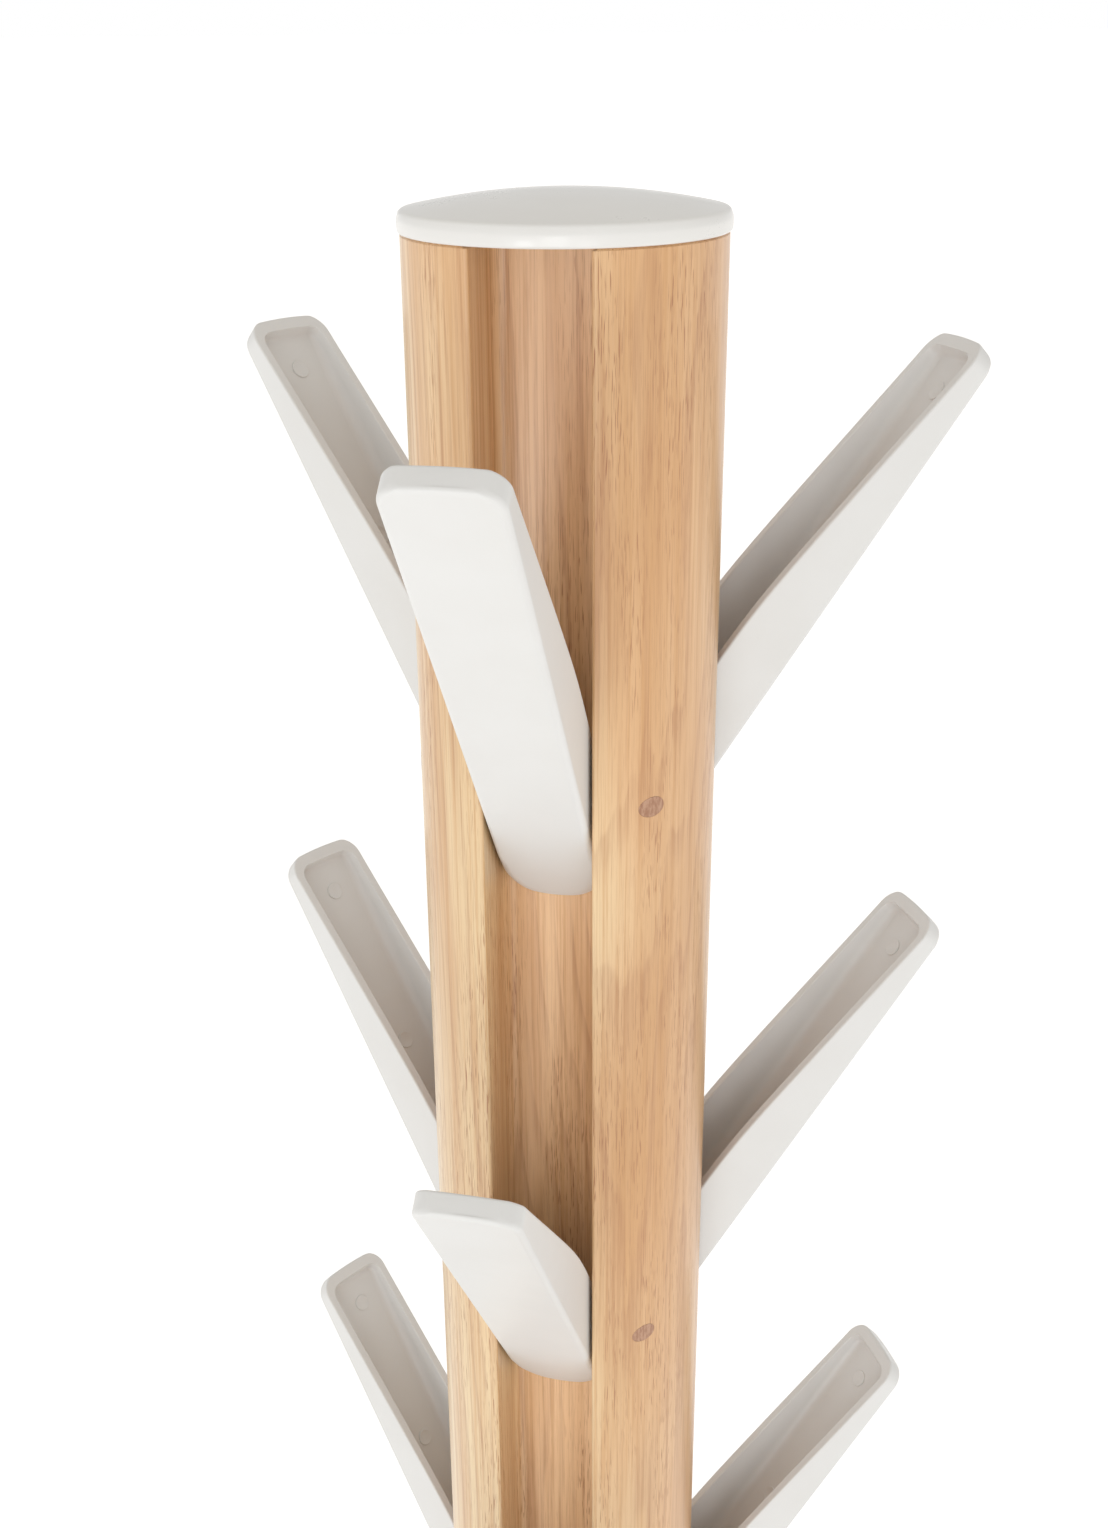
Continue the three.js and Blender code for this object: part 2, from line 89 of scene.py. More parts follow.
class Column(Enum):
    """The three columns of hooks, as azimuths in degrees from -Y towards +X."""

    FRONT = 0.0
    RIGHT = 120.0
    LEFT = -120.0


class Slot(Enum):
    """The record's material slots."""

    WOOD = "wood"
    PLUG = "plug_wood"
    HOOK = "hook_plastic"
    CAP = "cap_plastic"
    STEEL = "steel"
    BRASS = "brass"
    PAINT = "base_paint"
    PLATE = "plate_paint"
    IRON = "iron"
    RUBBER = "rubber"


@dataclass(frozen=True)
class Mount:
    """The place of one hook on the post: its column and its row, counted from the top."""

    column: Column
    row: int

    @property
    def tag(self) -> str:
        """Returns the end of the names of the pieces mounted here."""
        return f"{self.column.name.lower()}_{self.row}"

    @property
    def joint(self) -> dict:
        """Returns the hook's joint from the frame."""
        return next(j for j in frame["joints"] if j["name"] == f"hook_{self.tag}_fold")

    @property
    def pivot(self) -> Vector:
        """Returns the middle of the hinge pin."""
        return Vector(self.joint["pos_m"])

    @property
    def turn(self) -> Matrix:
        """Returns the turn about Z from the front to this column."""
        return Matrix.Rotation(math.radians(self.column.value), 4, "Z")

    @property
    def place(self) -> Matrix:
        """Returns the move of a piece that is built round the origin, facing the front."""
        return Matrix.Translation(self.pivot) @ self.turn


MOUNTS = [Mount(column, row) for column in Column for row in range(1, HOOK_ROWS + 1)]


# ---- Shader graphs --------------------------------------------------------------------------


class Value:
    """A node's output socket that can be used in Python arithmetic."""

    def __init__(self, graph: "Graph", socket: bpy.types.NodeSocket) -> None:
        """Wraps one socket of a graph's node."""
        self.graph = graph
        self.socket = socket

    def math(self, operation: str, *others: "Value | float") -> "Value":
        """Returns a Math node's output on this value and others."""
        return self.graph.math(operation, self, *others)

    def __add__(self, other: "Value | float") -> "Value":
        """Adds."""
        return self.math("ADD", other)

    __radd__ = __add__

    def __sub__(self, other: "Value | float") -> "Value":
        """Subtracts."""
        return self.math("SUBTRACT", other)

    def __rsub__(self, other: float) -> "Value":
        """Subtracts this value from a number."""
        return self.graph.math("SUBTRACT", other, self)

    def __mul__(self, other: "Value | float") -> "Value":
        """Multiplies."""
        return self.math("MULTIPLY", other)

    def __truediv__(self, other: "Value | float") -> "Value":
        """Divides."""
        return self.math("DIVIDE", other)

    def ramp(self, low: float, high: float) -> "Value":
        """Maps this value to a smooth step.

        Args:
            low: Where the step begins. Below it, the result is 0.
            high: Where the step ends. Above it, the result is 1.

        Returns:
            The step.
        """
        settings = {"interpolation_type": "SMOOTHSTEP", "clamp": True}
        inputs = {"Value": self, "From Min": low, "From Max": high, "To Min": 0.0, "To Max": 1.0}
        return self.graph.value("ShaderNodeMapRange", settings, inputs, "Result")


class Graph:
    """A node tree that nodes are added to."""

    def __init__(self, tree: bpy.types.NodeTree) -> None:
        """Takes the node tree of a material or a world."""
        self.tree = tree

    def feed(self, socket: bpy.types.NodeSocket, given: object) -> None:
        """Feeds one input socket.

        Args:
            socket: The socket.
            given: A value to link, or the socket's own number, vector or colour.
        """
        if isinstance(given, Value):
            self.tree.links.new(given.socket, socket)
        else:
            socket.default_value = given

    def node(self, kind: str, settings: dict, inputs: dict) -> bpy.types.Node:
        """Adds a node.

        Args:
            kind: The node's type.
            settings: Its properties, set before its sockets.
            inputs: Sockets by name or number, each with a value or a link.

        Returns:
            The node.
        """
        made = self.tree.nodes.new(kind)
        for key, setting in settings.items():
            setattr(made, key, setting)
        for key, given in inputs.items():
            self.feed(made.inputs[key], given)
        return made

    def value(self, kind: str, settings: dict, inputs: dict, output: str | int) -> Value:
        """Adds a node and returns one of its outputs."""
        return Value(self, self.node(kind, settings, inputs).outputs[output])

    def math(self, operation: str, *values: Value | float) -> Value:
        """Adds a Math node on values or numbers."""
        inputs = dict(enumerate(values))
        return self.value("ShaderNodeMath", {"operation": operation}, inputs, 0)

    def position(self) -> Value:
        """Returns the point on the piece, in metres."""
        return self.value("ShaderNodeTexCoord", {}, {}, "Object")

    def scaled(self, vector: Value, scale: Point3, shift: Point3 = ORIGIN) -> Value:
        """Returns a vector multiplied by a scale on each axis, then shifted."""
        inputs = {0: vector, 1: scale, 2: shift}
        return self.value("ShaderNodeVectorMath", {"operation": "MULTIPLY_ADD"}, inputs, 0)

    def length(self, vector: Value) -> Value:
        """Returns a vector's length."""
        return self.value("ShaderNodeVectorMath", {"operation": "LENGTH"}, {0: vector}, "Value")

    def from_axis(self, place: Value) -> Value:
        """Returns a point's distance from the Z axis."""
        return self.length(self.scaled(place, (1.0, 1.0, 0.0)))

    def mix(self, factor: Value | float, first: object, second: object) -> Value:
        """Mixes two colours."""
        settings = {"data_type": "RGBA", "clamp_factor": True}
        return self.value("ShaderNodeMix", settings, {0: factor, 6: first, 7: second}, 2)


class Surface(Graph):
    """The node tree of one material, with a Principled shader at its end."""

    def __init__(self, name: str) -> None:
        """Makes the material and its shader.

        Args:
            name: The material's name.
        """
        self.material = bpy.data.materials.new(name)
        self.material.use_nodes = True
        super().__init__(self.material.node_tree)
        self.tree.nodes.clear()
        self.shader = self.tree.nodes.new("ShaderNodeBsdfPrincipled")
        output = self.tree.nodes.new("ShaderNodeOutputMaterial")
        self.tree.links.new(self.shader.outputs["BSDF"], output.inputs["Surface"])

    def bump(self, height: Value, strength: float, distance: float) -> None:
        """Feeds the shader's Normal from a height.

        Args:
            height: The height, from 0 to 1.
            strength: How strongly it tells.
            distance: The length that a height of 1 stands for.
        """
        inputs = {"Height": height, "Strength": strength, "Distance": distance}
        normal = self.value("ShaderNodeBump", {}, inputs, "Normal")
        self.feed(self.shader.inputs["Normal"], normal)

    def finish(self, **sockets: object) -> bpy.types.Material:
        """Feeds the shader.

        Args:
            sockets: What goes to each socket, its name written with _ for a space.

        Returns:
            The material.
        """
        for name, given in sockets.items():
            self.feed(self.shader.inputs[name.replace("_", " ")], given)
        return self.material


# ---- Finishes -------------------------------------------------------------------------------


@dataclass(frozen=True)
class Grain:
    """Fractal noise from 0 to 1: cells per metre, detail, and how its axes are stretched."""

    scale: float
    detail: float = 2.0
    rough: float = 0.5
    across: float = 1.0
    along: float = 1.0
    shift: Point3 = ORIGIN

    def on(self, place: Value) -> Value:
        """Returns the noise at a place.

        Args:
            place: The point, in metres.

        Returns:
            The noise.
        """
        stretch = (self.across, self.across, self.along)
        vector = place.graph.scaled(place, stretch, self.shift)
        inputs = {
            "Vector": vector, "Scale": self.scale, "Detail": self.detail, "Roughness": self.rough,
        }
        return place.graph.value("ShaderNodeTexNoise", {}, inputs, 0)


@dataclass(frozen=True)
class LacqueredWood:
    """Pale rubberwood: even fibre, reddish pore lines, growth rings and a satin lacquer.

    The growth rings are cylinders round a pith that lies off to one side, so a face that runs
    along a ring shows wide arches and a face across the rings shows straight lines. The tone
    shifts at random from stave to stave, and a painted shade makes the +X side of the post darker
    and redder. The wood near the axis, in the floor of the grooves, is painted paler and warmer,
    a painted warm bounce light.
    """

    name: str = "lacquered_rubberwood"
    straw: Colour = (0.82, 0.625, 0.365, 1.0)
    rose: Colour = (0.775, 0.485, 0.255, 1.0)
    tan: Colour = (0.59, 0.30, 0.11, 1.0)
    line: Colour = (0.34, 0.115, 0.042, 1.0)
    # painted warm bounce light: a paler, warmer tone for the wood near the axis, in the grooves
    groove_bounce_light: Colour = (0.98, 0.65, 0.375, 1.0)
    # radii from the axis over which the painted bounce light fades out
    groove_light_radii: Point2 = (16.5 * MM, 27.0 * MM)
    pith: Point3 = (-0.016, 0.016, 0.0)
    ring_width: float = 5.2 * MM
    along: float = 0.02
    # painted shade: how strongly the +X side is painted darker and redder
    right_side_shade: float = 4.0
    fine_lines: float = 3.0
    fibre: Grain = Grain(2600.0, 3.0, 0.65, along=0.012)
    streak: Grain = Grain(760.0, 5.0, 0.7, along=0.014)
    band: Grain = Grain(95.0, 3.0, 0.55, along=0.05)
    blotch: Grain = Grain(17.0, along=0.3, shift=(0.3, 0.1, 0.0))
    wander: Grain = Grain(24.0, along=0.13)
    waver: Grain = Grain(150.0, along=0.05)
    crowd: Grain = Grain(75.0, along=0.12)
    thin_pores: Grain = Grain(3800.0, 1.0, along=0.035)
    bold_pores: Grain = Grain(2700.0, 1.0, along=0.04, shift=(0.7, 0.2, 0.0))

    def build(self) -> bpy.types.Material:
        """Makes the material.

        Returns:
            The material.
        """
        g = Surface(self.name)
        place = g.position()
        turns = self.ring_turns(g, place)
        phase = turns.math("FRACT")
        late = phase.ramp(0.1, 0.75) * (1.0 - phase.ramp(0.78, 1.0))
        fine_phase = (turns * self.fine_lines).math("FRACT")
        edge = fine_phase.ramp(0.55, 0.9) * (1.0 - fine_phase.ramp(0.92, 1.0))
        fibre, streak, band = self.fibre.on(place), self.streak.on(place), self.band.on(place)
        pores = self.pore_lines(place)
        across = g.value("ShaderNodeSeparateXYZ", {}, {0: place}, "X")
        # Stave tone at random, plus a painted shade that makes the +X side darker and redder.
        board_tone_and_right_shade = self.blotch.on(place) + across * self.right_side_shade
        # Painted warm bounce light: the wood near the axis, the grooves' floor, is painted paler
        # and warmer.
        inner = 1.0 - g.from_axis(place).ramp(*self.groove_light_radii)
        layers = (
            (board_tone_and_right_shade.ramp(0.36, 0.62), self.rose),
            (inner * 0.75, self.groove_bounce_light),
            (band.ramp(0.42, 0.7) * 0.4 + late * 0.2, self.tan),
            (board_tone_and_right_shade.ramp(0.48, 0.8) * 0.6, self.tan),
            (streak.ramp(0.46, 0.64) * 0.5, self.tan),
            (edge * streak.ramp(0.3, 0.6) * 0.3, self.line),
            (fibre.ramp(0.5, 0.68) * 0.24, self.line),
            (pores * 0.85, self.line),
        )
        tone = self.straw
        for cover, colour in layers:
            tone = g.mix(cover, tone, colour)
        g.bump(fibre * 0.25 - pores * 0.9, 0.16, 0.15 * MM)
        rough = 0.36 + fibre * 0.1 + pores * 0.18
        return g.finish(Base_Color=tone, Roughness=rough, Coat_Weight=0.5, Coat_Roughness=0.24)

    def ring_turns(self, g: Surface, place: Value) -> Value:
        """Counts the growth rings between the pith and a point, with their wander.

        Args:
            g: The material's graph.
            place: The point.

        Returns:
            The number of rings.
        """
        wander = self.wander.on(place) - 0.5
        waver = self.waver.on(place) - 0.5
        radius = g.length(g.scaled(place, (1.0, 1.0, self.along), tuple(-c for c in self.pith)))
        return radius / self.ring_width + wander * 3.2 + waver * 0.35

    def pore_lines(self, place: Value) -> Value:
        """Draws the short dark pores that run with the grain.

        Args:
            place: The point.

        Returns:
            1 on a pore.
        """
        crowd = self.crowd.on(place).ramp(0.4, 0.64)
        thin = self.thin_pores.on(place).ramp(0.6, 0.68) * (crowd * 0.7 + 0.12)
        bold = self.bold_pores.on(place).ramp(0.67, 0.72) * crowd
        return thin.math("MAXIMUM", bold)


@dataclass(frozen=True)
class EndGrain:
    """A turned wooden plug whose end grain shows."""

    name: str = "plug_end_grain"
    base: Colour = (0.50, 0.285, 0.18, 1.0)
    dark: Colour = (0.36, 0.17, 0.09, 1.0)
    dots: Grain = Grain(2600.0, 1.0)
    rays: Grain = Grain(1500.0, along=0.35)

    def build(self) -> bpy.types.Material:
        """Makes the material.

        Returns:
            The material.
        """
        g = Surface(self.name)
        place = g.position()
        dots = self.dots.on(place)
        tone = g.mix(self.rays.on(place).ramp(0.35, 0.7), self.base, self.dark)
        tone = g.mix(dots.ramp(0.6, 0.72) * 0.5, tone, self.dark)
        g.bump(dots, 0.2, 0.1 * MM)
        return g.finish(Base_Color=tone, Roughness=0.4 + dots * 0.1, Coat_Weight=0.25)


@dataclass(frozen=True)
class MouldedPlastic:
    """White moulded plastic with a faint spark-eroded texture."""

    name: str
    colour: Colour
    shade: Colour
    roughness: float
    texture: float
    coat: float = 0.0
    grain: Grain = Grain(2400.0)
    flow: Grain = Grain(45.0, 3.0)
    dust: Grain = Grain(700.0)

    def build(self) -> bpy.types.Material:
        """Makes the material.

        Returns:
            The material.
        """
        g = Surface(self.name)
        place = g.position()
        grain, flow = self.grain.on(place), self.flow.on(place)
        dust = self.dust.on(place).ramp(0.74, 0.8)
        tone = g.mix(flow.ramp(0.3, 0.75) * 0.5 + dust * 0.3, self.colour, self.shade)
        g.bump(grain * 0.8 + flow * 0.4, self.texture, 0.05 * MM)
        rough = self.roughness + (flow - 0.5) * 0.12 + grain * 0.05
        return g.finish(
            Base_Color=tone, Roughness=rough, Coat_Weight=self.coat, Coat_Roughness=0.08
        )


@dataclass(frozen=True)
class PaintedSteel:
    """Powder-coated or enamelled sheet steel with a light orange peel."""

    name: str
    colour: Colour
    shade: Colour
    roughness: float
    peel: Grain = Grain(620.0)
    wear: Grain = Grain(14.0, 4.0, 0.6)
    scuff: Grain = Grain(160.0, 3.0, along=3.0)

    def build(self) -> bpy.types.Material:
        """Makes the material.

        Returns:
            The material.
        """
        g = Surface(self.name)
        place = g.position()
        wear = self.wear.on(place)
        scuff = self.scuff.on(place).ramp(0.66, 0.78)
        tone = g.mix(wear.ramp(0.35, 0.75) * 0.6 + scuff * 0.25, self.colour, self.shade)
        g.bump(self.peel.on(place), 0.16, 0.12 * MM)
        rough = self.roughness + (wear - 0.5) * 0.16 + scuff * 0.12
        return g.finish(Base_Color=tone, Roughness=rough, Coat_Weight=0.15, Coat_Roughness=0.12)


@dataclass(frozen=True)
class BareMetal:
    """Plated, turned or cast metal with fine tool marks."""

    name: str
    colour: Colour
    stain: Colour
    roughness: float
    relief: float
    marks: Grain = Grain(900.0, 3.0)
    cloud: Grain = Grain(130.0, 3.0)

    def build(self) -> bpy.types.Material:
        """Makes the material.

        Returns:
            The material.
        """
        g = Surface(self.name)
        place = g.position()
        lines, cloud = self.marks.on(place), self.cloud.on(place)
        tone = g.mix(cloud.ramp(0.4, 0.72) * 0.7, self.colour, self.stain)
        g.bump(lines, self.relief, 0.08 * MM)
        rough = self.roughness + lines * 0.18 + cloud * 0.08
        return g.finish(Base_Color=tone, Roughness=rough, Metallic=1.0)


@dataclass(frozen=True)
class MattRubber:
    """Black moulded rubber with a dusty bloom."""

    name: str = "matt_rubber"
    colour: Colour = (0.016, 0.016, 0.017, 1.0)
    bloom: Colour = (0.055, 0.054, 0.052, 1.0)
    grain: Grain = Grain(1900.0)
    dust: Grain = Grain(220.0, 3.0)

    def build(self) -> bpy.types.Material:
        """Makes the material.

        Returns:
            The material.
        """
        g = Surface(self.name)
        place = g.position()
        dust = self.dust.on(place)
        tone = g.mix(dust.ramp(0.42, 0.75), self.colour, self.bloom)
        g.bump(self.grain.on(place), 0.35, 0.12 * MM)
        return g.finish(Base_Color=tone, Roughness=0.72 + dust * 0.16)


FINISHES = {
    Slot.WOOD: LacqueredWood(),
    Slot.PLUG: EndGrain(),
    Slot.HOOK: MouldedPlastic(
        "white_hook_plastic", (0.745, 0.743, 0.733, 1.0), (0.71, 0.702, 0.684, 1.0), 0.32, 0.2
    ),
    Slot.CAP: MouldedPlastic(
        "white_cap_plastic", (0.79, 0.782, 0.762, 1.0), (0.76, 0.75, 0.728, 1.0), 0.27, 0.05, 0.25
    ),
    Slot.STEEL: BareMetal(
        "zinc_plated_steel", (0.62, 0.63, 0.64, 1.0), (0.45, 0.45, 0.44, 1.0), 0.24, 0.2
    ),
    Slot.BRASS: BareMetal(
        "turned_brass", (0.72, 0.53, 0.24, 1.0), (0.50, 0.34, 0.14, 1.0), 0.22, 0.3,
        Grain(900.0, 3.0, across=0.2, along=4.0),
    ),
    Slot.IRON: BareMetal(
        "cast_iron", (0.12, 0.12, 0.122, 1.0), (0.075, 0.06, 0.052, 1.0), 0.5, 0.8
    ),
    Slot.PAINT: PaintedSteel(
        "white_powder_coat", (0.82, 0.82, 0.81, 1.0), (0.76, 0.757, 0.745, 1.0), 0.3
    ),
    Slot.PLATE: PaintedSteel(
        "black_enamel", (0.022, 0.022, 0.024, 1.0), (0.05, 0.05, 0.052, 1.0), 0.42
    ),
    Slot.RUBBER: MattRubber(),
}


# ---- Mesh work ------------------------------------------------------------------------------


class Shape:
    """A mesh in the making: rings of points joined into closed skins."""

    def __init__(self) -> None:
        """Starts empty."""
        self.points: list[Point3] = []
        self.faces: list[tuple[int, ...]] = []

    def loft(self, rings: Sequence[Ring], cap: bool = True, loop: bool = False) -> "Shape":
        """Skins closed rings of equal length.

        Args:
            rings: The rings, in order.
            cap: Whether the first and last ring are closed with a face.
            loop: Whether the last ring joins the first, as in a turned ring.

        Returns:
            The shape itself.
        """
        base = len(self.points)
        count = len(rings[0])
        for ring in rings:
            self.points.extend(ring)
        for row in range(len(rings) if loop else len(rings) - 1):
            low = base + row * count
            high = base + ((row + 1) % len(rings)) * count
            for i in range(count):
                j = (i + 1) % count
                self.faces.append((low + i, low + j, high + j, high + i))
        if cap and not loop:
            last = base + (len(rings) - 1) * count
            self.faces.append(tuple(range(base + count - 1, base - 1, -1)))
            self.faces.append(tuple(range(last, last + count)))
        return self

    def turn(self, profile: Sequence[Point2], sides: int) -> "Shape":
        """Turns a profile of radius and height about Z.

        Args:
            profile: The points. A radius of 0 at an end closes it with a pole; without one, the
                last point joins the first.
            sides: Steps round the axis.

        Returns:
            The shape itself.
        """
        poles = [p for p in (profile[0], profile[-1]) if p[0] == 0.0]
        body = [p for p in profile if p[0] > 0.0]
        base = len(self.points)
        rings = [[(x, y, z) for x, y in circle(r, sides)] for r, z in body]
        self.loft(rings, cap=False, loop=not poles)
        for pole in poles:
            row = base + (0 if pole is profile[0] else len(body) - 1) * sides
            centre = len(self.points)
            self.points.append((0.0, 0.0, pole[1]))
            self.faces.extend((row + i, row + (i + 1) % sides, centre) for i in range(sides))
        return self

    def add(self, other: "Shape", matrix: Matrix | None = None) -> "Shape":
        """Adds another shape's skins.

        Args:
            other: The other shape.
            matrix: A move for it.

        Returns:
            The shape itself.
        """
        base = len(self.points)
        turned = matrix or Matrix.Identity(4)
        self.points.extend(tuple(turned @ Vector(p)) for p in other.points)
        self.faces.extend(tuple(base + i for i in f) for f in other.faces)
        return self

    def mesh(self, name: str, matrix: Matrix | None = None, crease: float = 38.0) -> bpy.types.Mesh:
        """Makes the mesh, its faces pointing out.

        Args:
            name: The mesh's name.
            matrix: Where it goes in the frame.
            crease: The angle in degrees above which an edge is sharp.

        Returns:
            The mesh.
        """
        made = bpy.data.meshes.new(name)
        made.from_pydata(self.points, [], self.faces)
        if matrix is not None:
            made.transform(matrix)
        work = bmesh.new()
        work.from_mesh(made)
        bmesh.ops.remove_doubles(work, verts=work.verts, dist=1e-7)
        bmesh.ops.recalc_face_normals(work, faces=work.faces)
        work.to_mesh(made)
        work.free()
        smooth(made, crease)
        return made


def smooth(mesh: bpy.types.Mesh, crease: float) -> None:
    """Shades a mesh smooth, with edges above an angle in degrees kept sharp."""
    mesh.polygons.foreach_set("use_smooth", [True] * len(mesh.polygons))
    mesh.set_sharp_from_angle(angle=math.radians(crease))


def in_scene(name: str, data: bpy.types.ID) -> bpy.types.Object:
    """Puts a mesh, a light or a camera into the scene.

    Args:
        name: The object's name.
        data: What it shows.

    Returns:
        The object.
    """
    made = bpy.data.objects.new(name, data)
    bpy.context.scene.collection.objects.link(made)
    return made


def cut(mesh: bpy.types.Mesh, tool: bpy.types.Mesh, crease: float) -> bpy.types.Mesh:
    """Cuts a tool's volume away from a mesh.

    Args:
        mesh: The mesh.
        tool: The closed mesh that is taken away.
        crease: The angle in degrees above which an edge is sharp.

    Returns:
        The new mesh, under the first one's name.
    """
    whole, cutter = in_scene("whole", mesh), in_scene("cutter", tool)
    modifier = whole.modifiers.new("cut", "BOOLEAN")
    modifier.operation = "DIFFERENCE"
    modifier.solver = "EXACT"
    modifier.use_self = True
    modifier.object = cutter
    graph = bpy.context.evaluated_depsgraph_get()
    name = mesh.name
    made = bpy.data.meshes.new_from_object(whole.evaluated_get(graph))
    for item in (whole, cutter):
        bpy.data.objects.remove(item)
    bpy.data.meshes.remove(mesh)
    made.name = name
    smooth(made, crease)
    return made


def circle(radius: float, sides: int, start: float = 0.0) -> list[Point2]:
    """Returns points on a circle, the first at an angle in degrees."""
    turns = [math.tau * i / sides + math.radians(start) for i in range(sides)]
    return [(radius * math.cos(turn), radius * math.sin(turn)) for turn in turns]


def arc(centre: Point2, radius: float, start: float, end: float, steps: int) -> list[Point2]:
    """Draws an arc.

    Args:
        centre: Its centre.
        radius: Its radius.
        start: Its first angle, in degrees.
        end: Its last angle.
        steps: Steps along it.

    Returns:
        The points, both ends included.
    """
    points = []
    for i in range(steps + 1):
        angle = math.radians(start + (end - start) * i / steps)
        points.append((centre[0] + radius * math.cos(angle), centre[1] + radius * math.sin(angle)))
    return points


def fine_profile(corners: Sequence[Point3], steps: int = 4) -> list[Point2]:
    """Rounds the corners of a closed profile.

    Args:
        corners: Each corner's two coordinates and its rounding radius.
        steps: Steps in each rounding.

    Returns:
        The rounded profile.
    """
    points: list[Point2] = []
    count = len(corners)
    for i, (x, y, radius) in enumerate(corners):
        if radius <= 0.0:
            points.append((x, y))
            continue
        here = Vector((x, y))
        before = (Vector(corners[i - 1][:2]) - here).normalized()
        after = (Vector(corners[(i + 1) % count][:2]) - here).normalized()
        half = before.angle(after) / 2.0
        reach = radius / math.tan(half)
        first = here + before * reach
        last = here + after * reach
        centre = here + (before + after).normalized() * (radius / math.sin(half))
        for k in range(steps + 1):
            spoke = (first - centre).slerp(last - centre, k / steps).normalized()
            points.append(tuple(centre + spoke * radius))
    return points


def corner_loss(radius: float, down: float) -> float:
    """Returns how much a rounded end takes off an edge at a distance from the end."""
    short = max(0.0, radius - down)
    return radius - math.sqrt(radius**2 - short**2)


def soft_least(first: float, second: float, blend: float) -> float:
    """Returns the lesser of two values, with the change between them drawn out by a blend."""
    gap = first - second
    return (first + second - math.sqrt(gap * gap + blend * blend)) / 2.0


def clamped(share: float) -> float:
    """Returns a share kept from 0 to 1."""
    return max(0.0, min(1.0, share))


class Bench:
    """Turns shapes into pieces of the object: material, body, slot and the node each stands for."""

    def __init__(self) -> None:
        """Starts with no material made and no piece finished."""
        self.materials: dict[Slot, bpy.types.Material] = {}
        self.count = 0

    def material(self, slot: Slot) -> bpy.types.Material:
        """Makes a slot's material once.

        Args:
            slot: The slot.

        Returns:
            The material.
        """
        if slot not in self.materials:
            self.materials[slot] = FINISHES[slot].build()
        return self.materials[slot]

    def piece(
        self, mesh: bpy.types.Mesh, slot: Slot, node: str, body: str = STAND
    ) -> bpy.types.Object:
        """Adds a finished piece.

        Args:
            mesh: Its mesh, in the frame.
            slot: Its material slot.
            node: The CAD node that it stands for.
            body: The body that it rides on.

        Returns:
            The piece.
        """
        made = in_scene(mesh.name, mesh)
        made.data.materials.append(self.material(slot))
        made.modifiers.new("even_shading", "WEIGHTED_NORMAL").keep_sharp = True
        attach(made, body)
        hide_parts(node)
        self.count += 1
        log.info("%s: %d faces, on %s", made.name, len(mesh.polygons), body)
        return made


# ---- Post -----------------------------------------------------------------------------------


